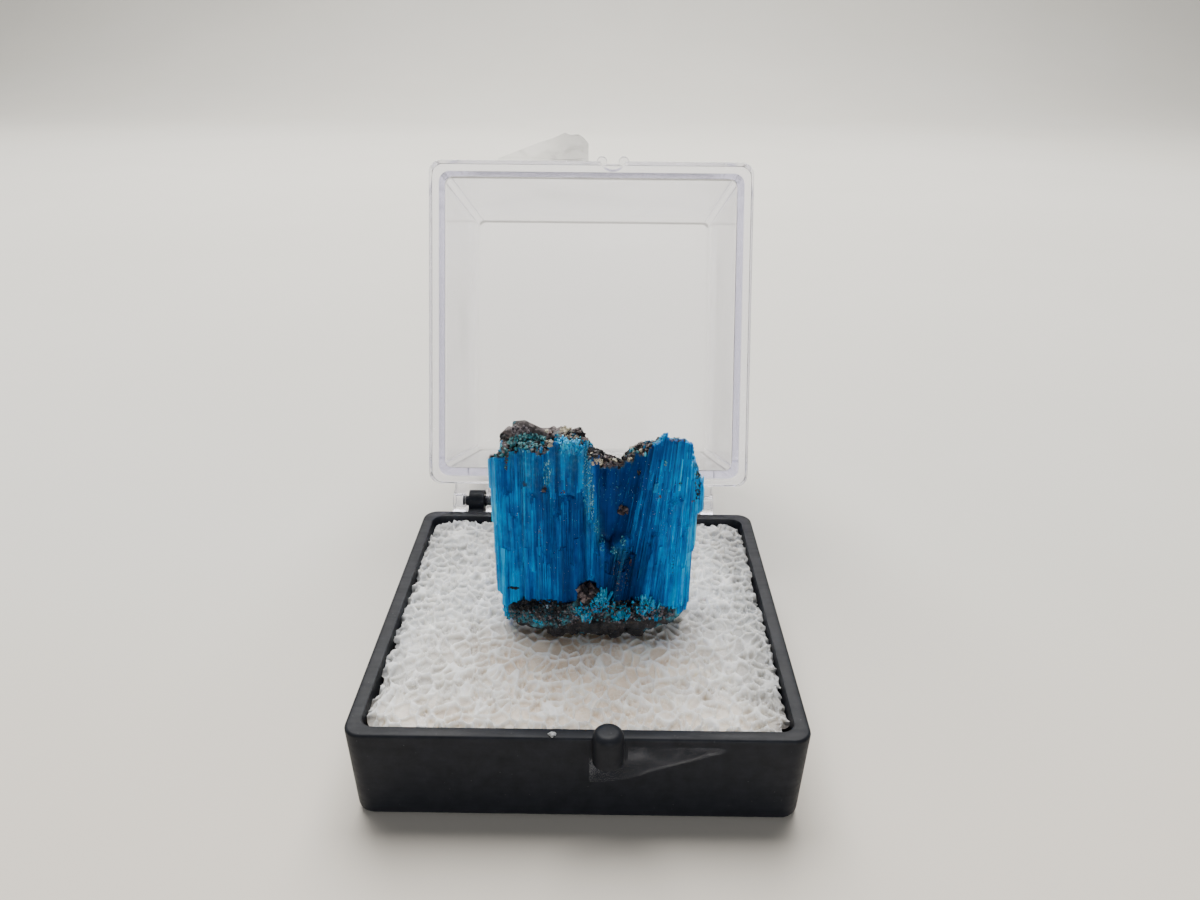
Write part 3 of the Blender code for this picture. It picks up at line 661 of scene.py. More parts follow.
# Chalcanthite: two blocks of upright, fused columns of translucent blue copper sulphate with
# a V broken out between them. Its faces are split into fine fibres and broken steps, and its
# top is broken rough and covered with rock.
CRYSTAL_FOOT = 7.7
PLATES = 800
NEEDLES = 2300
TOP_GRAINS = 1100

# Light and dark places of the blue, where the photograph shows them: pixel across and down,
# spread across and down, and change. They are partly the crystal's own bands and partly painted
# light and shade: lighter where light shines through the thin left and right edges, darker in the shaded V.
TONES = (
    (489, 530, 9, 150, 0.42),
    (512, 575, 16, 50, 0.17),
    (529, 468, 8, 26, 0.14),
    (556, 495, 17, 34, -0.17),
    (534, 545, 16, 32, 0.07),
    (568, 588, 16, 28, -0.3),
    (578, 515, 9, 60, -0.13),
    (588, 492, 5, 42, 0.02),
    (594, 545, 7, 18, 0.05),
    (620, 580, 22, 34, -0.55),
    (648, 525, 9, 40, -0.06),
    (664, 478, 12, 34, 0.1),
    (677, 575, 15, 55, 0.28),
    (693, 498, 10, 38, 0.42),
)
# Paler, granular places, in the same way
PALES = (
    (508, 446, 14, 9, 0.5),
    (529, 468, 7, 24, 0.3),
    (547, 474, 5, 16, 0.35),
    (588, 486, 4, 38, 0.34),
    (598, 531, 4, 16, 0.3),
    (571, 447, 15, 12, 0.35),
    (620, 548, 9, 8, 0.25),
    (520, 560, 3, 50, 0.2),
)
# The highest that the blue and the rock reach in the photograph, from left to right
BLUE_SKYLINE = (
    (486, 459), (499, 456), (501, 442), (508, 437), (520, 434), (560, 434), (578, 437),
    (586, 441), (592, 450), (604, 456), (614, 459), (622, 463), (628, 453), (636, 446),
    (655, 443), (660, 441), (663, 434), (667, 439), (680, 439), (691, 444), (695, 460), (701, 478), (706, 500),
)
ROCK_SKYLINE = (
    (498, 445), (502, 432), (513, 421), (525, 420), (533, 424), (541, 428), (549, 428),
    (557, 424), (570, 430), (579, 427), (586, 437), (592, 447), (604, 453), (622, 460),
)
# Tufts of fine crystals, where the photograph shows them: foot in pixels, half width, half
# height, count, shortest, longest and how far they stand out in millimetres, and how pale they are
TUFTS = (
    (571, 454, 14, 6, 80, 0.4, 1.3, 0.0, 0.35),
    (563, 447, 9, 4, 50, 0.4, 0.9, 0.0, 0.45),
    (602, 605, 8, 4, 90, 0.6, 1.9, 0.3, 0.6),
    (584, 614, 7, 5, 50, 0.5, 1.3, 0.3, 0.7),
    (646, 608, 10, 4, 100, 0.6, 1.9, 0.3, 0.55),
    (653, 617, 4, 3, 24, 0.3, 0.8, 0.2, 0.4),
    (622, 613, 9, 5, 50, 0.3, 1.0, 0.2, 0.8),
    (536, 618, 14, 5, 60, 0.2, 0.7, 0.1, 0.8),
    (513, 612, 8, 5, 40, 0.3, 0.8, 0.1, 0.5),
)


def pixel_of(point):
    """Where a place shows in the 1200 by 900 photograph."""
    gap = point - CAMERA_PLACE
    scale = CAMERA_FOCAL / gap.dot(CAMERA_AHEAD)
    return 600 + scale * gap.dot(CAMERA_RIGHT), 450 - scale * gap.dot(CAMERA_UP)


def inside_v(point):
    """How far inside the broken V a place shows, in pixels; negative outside it."""
    across, down = pixel_of(point)
    left = numpy.interp(down, (440, 467, 500, 523, 540, 553), (588, 594, 595, 596, 602, 608))
    right = numpy.interp(down, (453, 470, 493, 510, 533, 553), (655, 650, 642, 637, 627, 608))
    return min(across - left, right - across)


def below_skyline(point, skyline):
    """The height that a place comes down by so that it shows no higher than the skyline."""
    across, down = pixel_of(point)
    return max(0.0, numpy.interp(across, *zip(*skyline)) - down) / 12.3


def tone_at(point):
    """How light the blue is at a place, from 0 to 1, painted light and shade included."""
    across, down = pixel_of(point)
    total = 0.45
    for x, y, wide, high, change in TONES:
        total += change * math.exp(-(((across - x) / wide) ** 2) - ((down - y) / high) ** 2)
    # Painted shade: inside the recessed V the blue is painted down to a dark navy.
    return total + (0.14 - total) * step_up(inside_v(point), -1.0, 2.5)


def pale_at(point):
    """How pale and granular the blue is at a place, from 0 to 1."""
    across, down = pixel_of(point)
    return sum(
        change * math.exp(-(((across - x) / wide) ** 2) - ((down - y) / high) ** 2)
        for x, y, wide, high, change in PALES
    )


def fibre_slope(point):
    """The fibres stand upright in the left block and fan out in the right one."""
    rise = max(0.0, point.z - CRYSTAL_FOOT)
    if point.x < 1.5 + 0.12 * rise:
        return 0.0
    foot = (point.x - 0.2132 * rise) / (1 - 0.0246 * rise)
    return max(0.0, 0.2132 - 0.0246 * foot)


def random_spots(faces, count, draw):
    """Points spread by area over some faces, each with the way that its face looks."""
    total = numpy.cumsum([face.calc_area() for face in faces])
    spots = []
    for _ in range(count):
        face = faces[int(numpy.searchsorted(total, draw.uniform(0, total[-1])))]
        a, b, c = (vert.co for vert in face.verts[:3])
        u, v = draw.random(), draw.random()
        if u + v > 1:
            u, v = 1 - u, 1 - v
        spots.append((a + (b - a) * u + (c - a) * v, face.normal.copy()))
    return spots


def seen_at(across, down, carriers):
    """The first place on the carriers behind a pixel of the 1200 by 900 photograph."""
    ahead = CAMERA_AHEAD * CAMERA_FOCAL + CAMERA_RIGHT * (across - 600) - CAMERA_UP * (down - 450)
    hits = [tree.ray_cast(CAMERA_PLACE, ahead.normalized()) for tree in carriers]
    hits = [(distance, place, normal) for place, normal, _, distance in hits if place is not None]
    return min(hits, key=lambda hit: hit[0])[1:] if hits else (None, None)


def splinter(
    shape, layers, foot, top, out, half_width, half_depth, sides, tone, tip_tone, draw, pale=None
):
    """A slim prism from foot to top, its broad side turned out, its ends broken at a slant."""
    axis = top - foot
    side = axis.cross(out).normalized()
    away = side.cross(axis).normalized()
    place = Matrix(
        (
            (*(side * half_width), 0),
            (*(away * half_depth), 0),
            (*axis, 0),
            (*((foot + top) / 2), 1),
        )
    ).transposed()
    turn = math.pi / 4 if sides == 4 else 0.0
    made = bmesh.ops.create_cone(
        shape,
        cap_ends=True,
        segments=sides,
        radius1=1.0,
        radius2=draw.uniform(0.8, 1.0),
        depth=1.0,
        matrix=place @ Matrix.Rotation(turn + draw.uniform(-0.08, 0.08), 4, "Z"),
    )["verts"]
    middle = (foot + top) / 2
    slant = draw.uniform(-0.6, 0.6)
    # The upper end takes tip_tone: painted shade for the columns, whose tips are drawn darker, and painted light
    # for the tufts, whose tips are drawn paler.
    for vert in made:
        offset = (vert.co - middle).dot(side)
        if (vert.co - middle).dot(axis) > 0:
            vert.co.z += slant * offset - draw.uniform(0.0, 0.3) * half_width
            mark(vert, layers, tip_tone, pale)
        else:
            vert.co.z += draw.uniform(-0.3, 0.3) * half_width
            mark(vert, layers, tone, pale)


def mark(vert, layers, tone, pale=None):
    """Keeps a point's tone, how pale it is, and its place along and across the fibres."""
    slope = fibre_slope(vert.co)
    vert[layers[0]] = tone
    vert[layers[2]] = pale_at(vert.co) if pale is None else pale
    vert[layers[1]] = Vector((vert.co.x - slope * vert.co.z, vert.co.y, vert.co.z)) * 0.001


def new_blue():
    made = bmesh.new()
    made.verts.layers.float.new("tone")
    made.verts.layers.float_vector.new("fibre")
    made.verts.layers.float.new("cover")
    made.verts.layers.float.new("pale")
    return made, blue_layers(made)


def blue_layers(shape):
    known = shape.verts.layers
    return known.float["tone"], known.float_vector["fibre"], known.float["pale"]


chalcanthite_blue = Finish("chalcanthite_blue")
streak_place = chalcanthite_blue.attribute("fibre", "Vector")
fine_streak = chalcanthite_blue.grain(
    1.0, 4, 0.65, at=chalcanthite_blue.stretch(streak_place, (8000, 8000, 330))
)
broad_streak = chalcanthite_blue.grain(
    1.0, 4, 0.6, at=chalcanthite_blue.stretch(streak_place, (1700, 1700, 150))
)
cloud = chalcanthite_blue.grain(900, 4, 0.6)
streaks = chalcanthite_blue.sum(
    "ADD",
    chalcanthite_blue.band(broad_streak, 0.25, 0.75, -0.2, 0.2),
    chalcanthite_blue.sum(
        "ADD",
        chalcanthite_blue.band(fine_streak, 0.25, 0.75, -0.15, 0.15),
        chalcanthite_blue.band(cloud, 0.3, 0.7, -0.08, 0.08),
    ),
)
tone = chalcanthite_blue.attribute("tone")
level = chalcanthite_blue.sum(
    "ADD",
    tone,
    chalcanthite_blue.sum("MULTIPLY", streaks, chalcanthite_blue.band(tone, 0.12, 0.36, 0.35, 1.0)),
)
blue = chalcanthite_blue.ramp(
    level,
    (0.0, (0.001, 0.02, 0.1, 1)),
    (0.2, (0.001, 0.052, 0.25, 1)),
    (0.42, (0.001, 0.108, 0.42, 1)),
    (0.62, (0.001, 0.225, 0.7, 1)),
    (0.82, (0.001, 0.4, 0.95, 1)),
    (1.0, (0.01, 0.62, 1.0, 1)),
)
pale_blue = chalcanthite_blue.ramp(
    chalcanthite_blue.grain(3000, 4, 0.65),
    (0.35, srgb(24, 98, 130)),
    (0.5, srgb(48, 142, 172)),
    (0.65, srgb(118, 186, 204)),
)
blue = chalcanthite_blue.mix(chalcanthite_blue.attribute("pale"), blue, pale_blue)
# Painted glints: thin bright strokes and flecks along the fibres, mixed towards a light azure, stand in for
# small highlights.
line_place = chalcanthite_blue.stretch(streak_place, (5600, 5600, 360))
glint_lines = chalcanthite_blue.band(chalcanthite_blue.cells(1.0, at=line_place), 0.06, 0.16, 1.0, 0.0)
glint_place = chalcanthite_blue.stretch(streak_place, (5200, 5200, 1900))
glints = chalcanthite_blue.band(
    chalcanthite_blue.cells(1.0, at=glint_place), 0.06, 0.17, 1.0, 0.0
)
bright = chalcanthite_blue.sum(
    "MULTIPLY",
    chalcanthite_blue.sum("MAXIMUM", glint_lines, glints),
    chalcanthite_blue.band(chalcanthite_blue.grain(620, 4), 0.48, 0.6),
)
rock_cover = chalcanthite_blue.ramp(
    chalcanthite_blue.grain(1900, 5, 0.65),
    (0.32, srgb(14, 12, 14)),
    (0.48, srgb(46, 38, 38)),
    (0.58, srgb(84, 74, 74)),
    (0.7, srgb(40, 110, 124)),
)
chalcanthite_blue.shade(
    Base_Color=chalcanthite_blue.mix(
        chalcanthite_blue.attribute("cover"),
        # Painted glints lighten the blue here.
        chalcanthite_blue.mix(
            chalcanthite_blue.sum("MULTIPLY", bright, 0.55), blue, srgb(60, 172, 216)
        ),
        rock_cover,
    ),
    Roughness=chalcanthite_blue.band(fine_streak, 0.3, 0.7, 0.28, 0.5),
    IOR=1.53,
    Specular_IOR_Level=0.06,
    Subsurface_Weight=0.35,
    Subsurface_Radius=(0.0003, 0.0010, 0.0018),
    Subsurface_Scale=1.0,
    Normal=chalcanthite_blue.bump(
        fine_streak, 0.00002, 0.6, chalcanthite_blue.bump(broad_streak, 0.00004, 0.5)
    ),
)

draw = random.Random(41)
core = settle("crystal_core", merged_copy("chalcanthite"), chalcanthite_blue)
even = core.modifiers.new("even mesh", "REMESH")
even.mode = "VOXEL"
even.voxel_size = 0.00018
calm = core.modifiers.new("calm the ribs", "SMOOTH")
calm.factor = 0.5
calm.iterations = 10
calm.use_z = False
columns, layers = new_blue()
columns.from_mesh(core.evaluated_get(bpy.context.evaluated_depsgraph_get()).to_mesh())
bpy.data.objects.remove(core)
bmesh.ops.scale(columns, vec=(1000, 1000, 1000), verts=columns.verts)
columns.normal_update()
layers = blue_layers(columns)
cover_layer = columns.verts.layers.float["cover"]
for vert in columns.verts:
    up = vert.normal.z
    broken = step_up(up + 0.3 * noise.noise(vert.co * 2.0), 0.25, 0.6) * step_up(vert.co.z, 19.6, 20.4)
    right_top = step_up(vert.co.x, 4.9, 5.8)
    vert[cover_layer] = broken * (1 - 0.85 * right_top)
    vert.co += Vector((vert.normal.x, vert.normal.y, 0)) * 0.1
    if broken > 0:
        vert.co.z += broken * (0.22 * noise.noise(vert.co * 1.9) + 0.14 * noise.noise(vert.co * 4.5))
    vert.co.z -= below_skyline(vert.co, BLUE_SKYLINE)
    if vert.co.z < 17:
        vert.co.x = min(vert.co.x, 8.27 + 0.48 * (vert.co.z - 8.24) / 8.76)
    # Painted shade: the broken top's blue is painted darker, more on the right block, to hold down the strong
    # light that falls on it from above.
    mark(
        vert,
        layers,
        tone_at(vert.co) - 0.03 - broken * (0.1 + 0.1 * right_top),
        max(pale_at(vert.co), broken * (0.55 - 0.2 * right_top)),
    )
columns.normal_update()
body_tree = BVHTree.FromBMesh(columns)
rock_trees = [BVHTree.FromBMesh(merged_copy(node)) for node in ("lower_matrix", "upper_matrix")]
side_faces = [face for face in columns.faces if abs(face.normal.z) < 0.6]
top_faces = [
    face for face in columns.faces if face.normal.z > 0.45 and face.calc_center_median().z > 19.8
]
top_spots = random_spots(top_faces, TOP_GRAINS, draw)
batch, batch_layers = new_blue()
batch_mesh = bpy.data.meshes.new("batch")
for number, (spot, facing) in enumerate(random_spots(side_faces, PLATES + NEEDLES, draw)):
    out = Vector((facing.x, facing.y, 0)).normalized()
    start = spot + out * 0.05
    if body_tree.ray_cast(start, out, 0.8)[0] or any(t.ray_cast(start, out, 1.2)[0] for t in rock_trees):
        continue
    broad = number < PLATES
    if inside_v(spot) > -2.0 and (broad or draw.random() < 0.85):
        continue
    axis = Vector((fibre_slope(spot), 0, 1)).normalized()
    half_width = draw.uniform(0.15, 0.6) if broad else draw.uniform(0.025, 0.11)
    half_depth = draw.uniform(0.1, 0.22) if broad else draw.uniform(0.03, 0.08)
    proud = draw.uniform(-0.03, 0.04) if broad else draw.uniform(0.0, 0.05)
    side = axis.cross(out)
    while half_width > 0.12 and any(
        body_tree.find_nearest(spot + side * way * half_width)[3] > 0.08 for way in (-1, 1)
    ):
        half_width *= 0.75
    ends = []
    for way in (-1, 1):
        length = draw.uniform(1.2, 8.0) if broad else draw.uniform(0.3, 5.0)
        while length > 0.1:
            tip = spot - out * 0.1 + axis * way * length
            near, near_normal, _, gap = body_tree.find_nearest(tip)
            if (tip - near).dot(near_normal) < 0 and gap < 0.4 and inside_v(tip) < 0.5:
                break
            length *= 0.85
        ends.append(spot + axis * way * length + out * (proud - half_depth * 0.8))
    tone = tone_at(spot) + draw.gauss(0, 0.03 if broad else 0.07)
    if not broad and draw.random() < 0.09:
        tone += 0.25
    sides = draw.choice((4, 4, 6)) if broad else draw.choice((4, 5, 6))
    splinter(
        batch, batch_layers, *ends, out, half_width, half_depth, sides, tone, tone - 0.06, draw
    )
    if number % 60 == 59:
        batch.to_mesh(batch_mesh)
        columns.from_mesh(batch_mesh)
        batch.free()
        batch, batch_layers = new_blue()
for left, right, count in ((504, 579, 90), (642, 690, 60), (596, 642, 30)):
    for _ in range(count):
        across = draw.uniform(left, right)
        spot, facing = seen_at(across, draw.uniform(568, 586), [body_tree])
        if spot is None:
            continue
        out = Vector((facing.x, facing.y, 0.01)).normalized()
        axis = Vector((fibre_slope(spot), 0, 1)).normalized()
        foot = spot - axis * ((draw.gauss(606, 4) - pixel_of(spot)[1]) / 12.3)
        foot.z = max(foot.z, CRYSTAL_FOOT)
        width = draw.uniform(0.06, 0.32)
        splinter(
            batch, batch_layers, foot + out * 0.02, spot + axis * draw.uniform(0.3, 3.0), out, width,
            draw.uniform(0.08, 0.25), 4, tone_at(spot) + draw.gauss(-0.05, 0.06), tone_at(spot), draw,
        )
    batch.to_mesh(batch_mesh)
    columns.from_mesh(batch_mesh)
    batch.free()
    batch, batch_layers = new_blue()
for left, right, low, count, least, most in ((650, 690, 456, 90, 0.75, 1.0), (549, 585, 462, 60, 0.3, 0.75)):
    for _ in range(count):
        across = draw.uniform(left, right)
        spot, facing = seen_at(across, low, [body_tree])
        if spot is None:
            continue
        out = Vector((0.4 * facing.x + draw.gauss(0, 0.15), -1, 0)).normalized()
        axis = Vector((fibre_slope(spot), 0, 1)).normalized()
        rise = (low - numpy.interp(across, *zip(*BLUE_SKYLINE))) / 12.3 * draw.uniform(least, most)
        tone = tone_at(spot) + draw.gauss(0.02, 0.07)
        splinter(
            batch, batch_layers, spot - axis * draw.uniform(0.6, 3.0), spot + axis * rise, out,
            draw.uniform(0.07, 0.3), draw.uniform(0.12, 0.3), 4, tone, tone - 0.1, draw,
        )
for spot, facing in top_spots:
    if spot.x > 5.0:
        axis = Vector((fibre_slope(spot), 0, 1)).normalized()
        tip = spot + axis * draw.uniform(0.05, 0.4)
        tip.z -= below_skyline(tip, BLUE_SKYLINE)
        out = Vector((draw.gauss(0, 0.25), -1, 0)).normalized()
        width, tone = draw.uniform(0.06, 0.24), tone_at(spot) + draw.gauss(0.0, 0.09)
        splinter(
            batch, batch_layers, spot - axis * 0.7, tip, out, width, draw.uniform(0.1, 0.25), 4, tone,
            tone - 0.14, draw, 0.32,
        )
batch.to_mesh(batch_mesh)
columns.from_mesh(batch_mesh)
batch.free()
batch, batch_layers = new_blue()
for across, down, wide, high, count, short, long, stand_out, pale in TUFTS:
    for _ in range(count):
        offset = draw.gauss(0, 0.5)
        spot, facing = seen_at(
            across + wide * offset, down + high * draw.uniform(-1, 1), [body_tree, *rock_trees]
        )
        if spot is None:
            continue
        out = Vector((facing.x, facing.y - 0.6, 0.01)).normalized()
        axis = Vector((0.22 * offset + draw.gauss(0, 0.16), draw.gauss(-0.1, 0.12), 1)).normalized()
        length = draw.uniform(short, long) * (1 - 0.4 * min(1.0, abs(offset)))
        width = draw.uniform(0.04, 0.14)
        foot = spot - axis * 0.15 + out * draw.uniform(-0.05, 0.1 + stand_out)
        tone = draw.uniform(0.4, 0.74)
        splinter(
            batch, batch_layers, foot, foot + axis * length, out, width, width, draw.choice((4, 5, 6)),
            tone, tone + draw.uniform(0.1, 0.35), draw, pale * draw.uniform(0.6, 1.2),
        )
    batch.to_mesh(batch_mesh)
    columns.from_mesh(batch_mesh)
    batch.free()
    batch, batch_layers = new_blue()
batch.free()
bpy.data.meshes.remove(batch_mesh)
columns_tree = BVHTree.FromBMesh(columns)
crystal = settle("chalcanthite_columns", columns, chalcanthite_blue)
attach(crystal, "base")
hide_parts("chalcanthite")

# Wall rock: the dark seams that the crystal grew between, one under it and one on top, with
# rough broken lumps, painted grey glints and turquoise staining.
dark_rock = Finish("dark_rock")
rock_cloud = dark_rock.grain(900, 6, 0.7)
rock_height = dark_rock.add("ShaderNodeSeparateXYZ")
dark_rock.put(rock_height.inputs[0], dark_rock.place)
# The upper seam is drawn lighter than the lower one: partly its own greyer, pinker rock, partly painted light on
# its lit top.
rock_base = dark_rock.mix(
    dark_rock.band(rock_height.outputs["Z"], 0.0150, 0.0185),
    dark_rock.ramp(
        rock_cloud,
        (0.3, srgb(6, 7, 9)),
        (0.5, srgb(24, 24, 28)),
        (0.62, srgb(50, 43, 42)),
        (0.75, srgb(92, 85, 85)),
    ),
    dark_rock.ramp(
        rock_cloud,
        (0.3, srgb(24, 22, 24)),
        (0.45, srgb(66, 58, 58)),
        (0.58, srgb(110, 98, 98)),
        (0.72, srgb(156, 142, 142)),
    ),
)
stain = dark_rock.band(dark_rock.grain(420, 5, 0.6), 0.55, 0.65)
stain_shade = dark_rock.ramp(
    dark_rock.grain(2600, 3), (0.35, srgb(8, 60, 78)), (0.65, srgb(70, 150, 165))
)
# Painted glints: small grey-white flecks stand in for light catching the rock.
painted_rock_glints = dark_rock.band(dark_rock.cells(3200), 0.04, 0.12, 1.0, 0.0)
dark_rock.shade(
    Base_Color=dark_rock.mix(
        painted_rock_glints, dark_rock.mix(stain, rock_base, stain_shade), srgb(160, 160, 165)
    ),
    Roughness=dark_rock.band(rock_cloud, 0.3, 0.7, 0.75, 0.4),
    Normal=dark_rock.bump(dark_rock.grain(3200, 5, 0.7), 0.00016, 0.9),
)
solid_trees = []
for node, seed in (("lower_matrix", 3), ("upper_matrix", 8)):
    seam = settle(f"{node}_rock", merged_copy(node), dark_rock)
    even = seam.modifiers.new("even mesh", "REMESH")
    even.mode = "VOXEL"
    even.voxel_size = 0.00012
    held = bpy.context.evaluated_depsgraph_get()
    rough = bmesh.new()
    rough.from_mesh(seam.evaluated_get(held).to_mesh())
    seam.modifiers.clear()
    bmesh.ops.scale(rough, vec=(1000, 1000, 1000), verts=rough.verts)
    rough.normal_update()
    swell = 0.22 if node == "lower_matrix" else 0.06
    for vert in rough.verts:
        at = vert.co + Vector((seed, 0, 0))
        if node == "lower_matrix":
            vert.co.x = 1.4 + (vert.co.x - 1.4) * 1.05
        lump = noise.noise(at * 1.1) * 0.3 + noise.noise(at * 2.9) * 0.2 + noise.noise(at * 8) * 0.07
        lump += 0.2 * (0.5 - noise.voronoi(at * 1.5)[0][0])
        vert.co += vert.normal * lump + Vector((vert.normal.x, vert.normal.y, 0)) * swell
        if node == "lower_matrix":
            vert.co.z = max(vert.co.z, 7.2)
        else:
            x = vert.co.x
            vert.co.z += 0.25 * math.exp(-(((x + 4.9) / 1.1) ** 2))
            vert.co.z -= 0.4 * math.exp(-(((x + 2.5) / 0.9) ** 2))
            vert.co.z -= below_skyline(vert.co, ROCK_SKYLINE)
    solid_trees.append(BVHTree.FromBMesh(rough))
    bmesh.ops.scale(rough, vec=(0.001, 0.001, 0.001), verts=rough.verts)
    rough.to_mesh(seam.data)
    rough.free()
    seam.data.shade_smooth()
    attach(seam, "base")
    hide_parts(node)

# Crust: loose grains of altered mineral and rock that cling to the crystal, thickest along its
# broken top, with pale cyan tufts of fine crystals. Each patch lies on what carries it.
GRAIN_COLOURS = {
    "green": (srgb(40, 118, 128), srgb(74, 156, 166), srgb(30, 80, 90), srgb(120, 172, 174)),
    "cyan": (srgb(10, 130, 175), srgb(40, 165, 205), srgb(90, 195, 220), srgb(0, 100, 150)),
    "pale": (srgb(120, 185, 205), srgb(70, 150, 180), srgb(40, 120, 160)),
    "black": (srgb(12, 12, 14), srgb(22, 22, 24), srgb(34, 30, 30)),
    "brown": (srgb(92, 78, 78), srgb(60, 48, 48), srgb(124, 108, 106), srgb(32, 26, 28)),
    "grey": (srgb(120, 112, 118), srgb(96, 90, 94), srgb(140, 128, 130), srgb(60, 54, 58)),
    "cream": (srgb(225, 215, 190), srgb(200, 190, 165), srgb(170, 160, 140)),
    "rust": (srgb(84, 50, 42), srgb(62, 38, 34), srgb(106, 74, 66)),
    # white: pale mineral specks, which also stand in for tiny painted glints on the crystal's face.
    "white": (srgb(225, 230, 235), srgb(170, 200, 220)),
    "mottle": (srgb(50, 120, 135), srgb(90, 95, 100), srgb(130, 118, 122), srgb(24, 60, 72)),
}
# Where a patch shows in the photograph's pixels: centre, spread, count, sizes in mm, colours
PATCHES = (
    (527, 441, 17, 7, 300, 0.07, 0.2, "green"),
    (530, 444, 8, 4, 34, 0.07, 0.16, "black"),
    (528, 446, 17, 6, 120, 0.04, 0.1, "pale"),
    (505, 437, 4, 3, 24, 0.1, 0.22, "black"),
    (520, 431, 9, 5, 70, 0.08, 0.2, "grey"),
    (566, 431, 5, 4, 30, 0.12, 0.3, "cream"),
    (581, 432, 4, 5, 40, 0.1, 0.25, "brown"),
    (572, 446, 13, 10, 50, 0.04, 0.1, "cyan"),
    (572, 437, 9, 2, 14, 0.07, 0.15, "cream"),
    (547, 432, 2, 1, 5, 0.1, 0.2, "cream"),
    (551, 433, 2, 1, 5, 0.1, 0.2, "rust"),
    (549, 444, 4, 2, 14, 0.12, 0.26, "cream"),
    (543, 449, 2, 2, 10, 0.1, 0.2, "brown"),
    (506, 457, 1.5, 12, 36, 0.06, 0.14, "green"),
    (507, 458, 1.5, 12, 20, 0.06, 0.14, "rust"),
    (587, 480, 4, 34, 200, 0.03, 0.09, "pale"),
    (547, 472, 4, 12, 70, 0.04, 0.1, "pale"),
    (598, 449, 7, 5, 90, 0.1, 0.24, "black"),
    (612, 455, 8, 4, 80, 0.1, 0.22, "brown"),
    (597, 462, 5, 3, 24, 0.07, 0.17, "cream"),
    (617, 480, 17, 24, 50, 0.02, 0.05, "pale"),
    (623, 510, 5, 4, 50, 0.08, 0.2, "brown"),
    (643, 445, 9, 4, 60, 0.07, 0.2, "brown"),
    (640, 448, 8, 3, 24, 0.07, 0.18, "black"),
    (634, 450, 5, 3, 40, 0.06, 0.14, "green"),
    (680, 440, 11, 1.2, 50, 0.04, 0.1, "brown"),
    (630, 449, 3, 3, 40, 0.06, 0.15, "cyan"),
    (639, 472, 2, 2.5, 10, 0.06, 0.14, "black"),
    (665, 463, 2, 2.5, 10, 0.06, 0.14, "green"),
    (660, 497, 2, 1.5, 8, 0.06, 0.13, "rust"),
    (657, 479, 1, 1, 3, 0.06, 0.1, "black"),
    (680, 484, 1.5, 1.5, 5, 0.06, 0.1, "black"),
    (693, 501, 1.5, 1.5, 5, 0.06, 0.12, "rust"),
    (545, 490, 2, 3, 8, 0.05, 0.1, "rust"),
    (563, 492, 2, 1.5, 6, 0.06, 0.12, "rust"),
    (540, 536, 1.5, 10, 20, 0.03, 0.08, "grey"),
    (698, 486, 2.5, 14, 60, 0.05, 0.13, "black"),
    (697, 480, 2.5, 14, 30, 0.05, 0.12, "green"),
    (650, 500, 28, 38, 90, 0.015, 0.04, "white"),
    (655, 490, 30, 45, 46, 0.02, 0.06, "black"),
    (550, 520, 34, 60, 30, 0.02, 0.05, "black"),
    (545, 530, 34, 60, 80, 0.015, 0.04, "white"),
    (614, 550, 3, 4, 30, 0.04, 0.1, "pale"),
    (623, 541, 3, 4, 30, 0.04, 0.1, "pale"),
    (630, 562, 1.5, 6, 12, 0.05, 0.12, "rust"),
    (621, 577, 8, 15, 80, 0.03, 0.09, "brown"),
    (673, 565, 1, 11, 20, 0.04, 0.08, "black"),
    (602, 600, 7, 5, 40, 0.04, 0.1, "cyan"),
    (646, 604, 9, 5, 40, 0.04, 0.1, "cyan"),
    (513, 588, 5, 1.2, 26, 0.08, 0.16, "black"),
    (547, 607, 1.5, 1, 6, 0.06, 0.12, "white"),
    (560, 614, 40, 10, 320, 0.05, 0.16, "mottle"),
    (620, 612, 34, 10, 320, 0.05, 0.16, "mottle"),
    (540, 606, 26, 6, 220, 0.07, 0.2, "black"),
    (516, 615, 9, 6, 70, 0.08, 0.2, "mottle"),
    (620, 606, 26, 6, 120, 0.07, 0.2, "black"),
    (664, 612, 9, 6, 70, 0.08, 0.2, "mottle"),
    (586, 592, 7, 9, 40, 0.15, 0.4, "brown"),
    (587, 594, 7, 8, 40, 0.08, 0.2, "black"),
    (592, 587, 1, 1, 3, 0.1, 0.16, "white"),
    (592, 497, 2, 22, 90, 0.03, 0.09, "pale"),
    (596, 527, 2.5, 8, 40, 0.03, 0.09, "pale"),
    (602, 543, 2.5, 8, 40, 0.03, 0.09, "pale"),
)

# What lies on the broken top, from left to right: up to which x, and the kinds of grain
TOP_COLOURS = (
    (-3.4, ("brown", "black", "green", "grey")),
    (0.6, ("brown", "cyan", "black", "brown")),
    (4.4, ("black", "brown", "black", "cream")),
    (99.0, ("brown", "brown", "cyan")),
)

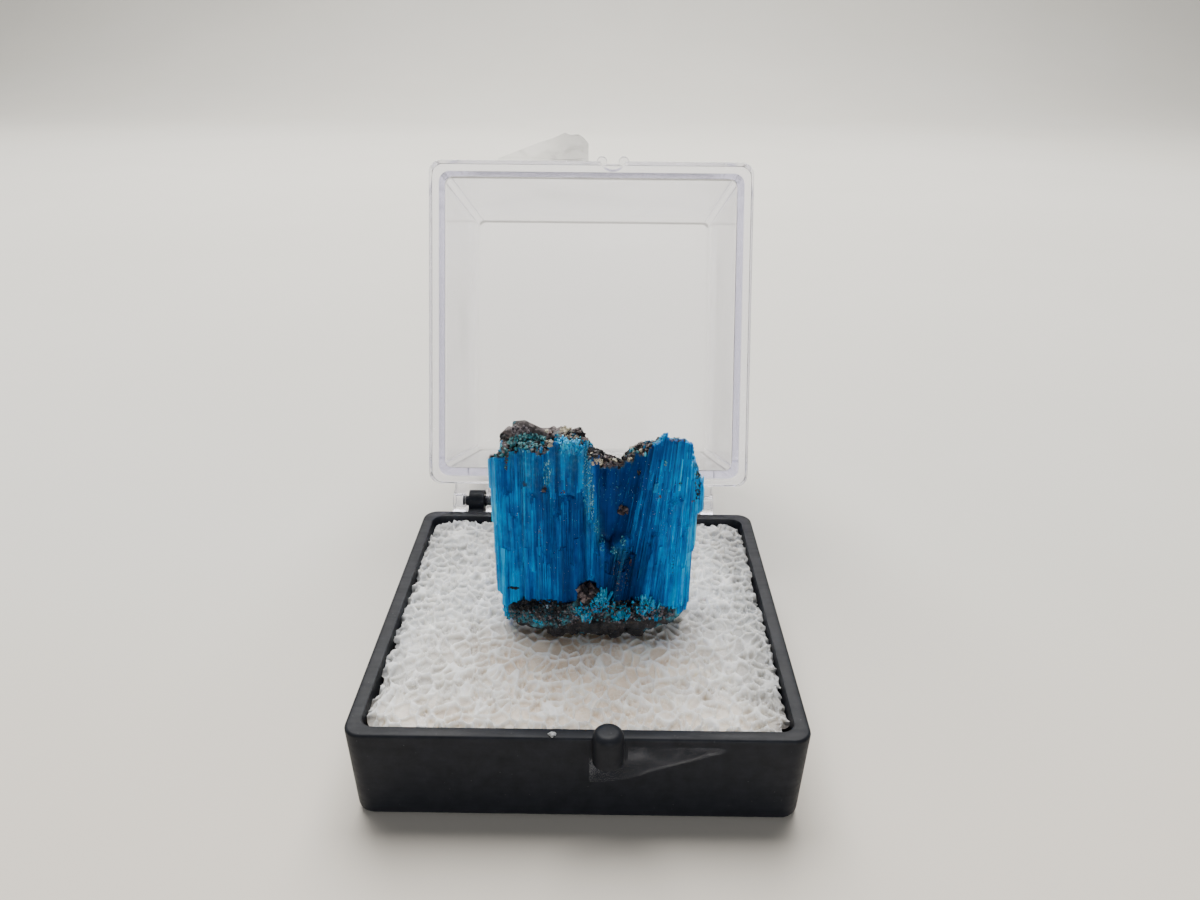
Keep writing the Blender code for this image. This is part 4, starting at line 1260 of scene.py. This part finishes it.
crust_finish = Finish("mineral_crust")
crust_finish.shade(
    Base_Color=crust_finish.mix(
        crust_finish.band(crust_finish.grain(6000, 3), 0.35, 0.65, 0.0, 0.5),
        crust_finish.attribute("tint", "Color"),
        srgb(20, 30, 36),
    ),
    Roughness=0.5,
    Specular_IOR_Level=0.35,
    Normal=crust_finish.bump(crust_finish.grain(9000, 3), 0.00003, 0.7),
)
carriers = [columns_tree, *solid_trees]

draw = random.Random(7)
grains = []
for across, down, wide, high, count, smallest, largest, colours in PATCHES:
    for _ in range(count):
        turn, reach = draw.uniform(0, 2 * math.pi), math.sqrt(draw.random()) * 1.1
        place, normal = seen_at(
            across + wide * reach * math.cos(turn), down + high * reach * math.sin(turn), carriers
        )
        if place is not None:
            grains.append((place, normal, draw.uniform(smallest, largest), colours))
for place, normal in top_spots:
    if place.x > 5.3 and draw.random() < 0.85:
        continue
    for limit, choices in TOP_COLOURS:
        if place.x < limit:
            grains.append((place, normal, draw.uniform(0.08, 0.28), draw.choice(choices)))
            break
crust = bmesh.new()
tint_layer = crust.verts.layers.float_color.new("tint")
crust_mesh = bpy.data.meshes.new("batch")
batch = bmesh.new()
batch_tint = batch.verts.layers.float_color.new("tint")
for number, (place, normal, size, colours) in enumerate(grains):
    tint = draw.choice(GRAIN_COLOURS[colours])
    turned = Matrix.Rotation(draw.uniform(0, 6.3), 4, Vector([draw.gauss(0, 1) for _ in range(3)]))
    tall = 1.7 if colours in ("cyan", "pale") else 1.0
    squashed = Matrix.Diagonal((draw.uniform(0.6, 1.1), draw.uniform(0.6, 1.1), 1, 1))
    at = Matrix.Translation(place + normal * size * 0.25) @ Matrix.Diagonal((1, 1, tall, 1))
    verts = bmesh.ops.create_icosphere(
        batch, subdivisions=1, radius=size * 0.75, matrix=at @ turned @ squashed
    )["verts"]
    for vert in verts:
        vert.co += Vector([draw.uniform(-0.28, 0.28) * size for _ in range(3)])
        vert[batch_tint] = tint
    if number % 60 == 59:
        batch.to_mesh(crust_mesh)
        crust.from_mesh(crust_mesh)
        batch.free()
        batch = bmesh.new()
        batch_tint = batch.verts.layers.float_color.new("tint")
batch.to_mesh(crust_mesh)
crust.from_mesh(crust_mesh)
batch.free()
bpy.data.meshes.remove(crust_mesh)
crust_piece = settle("crust_grains", crust, crust_finish)
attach(crust_piece, "base")
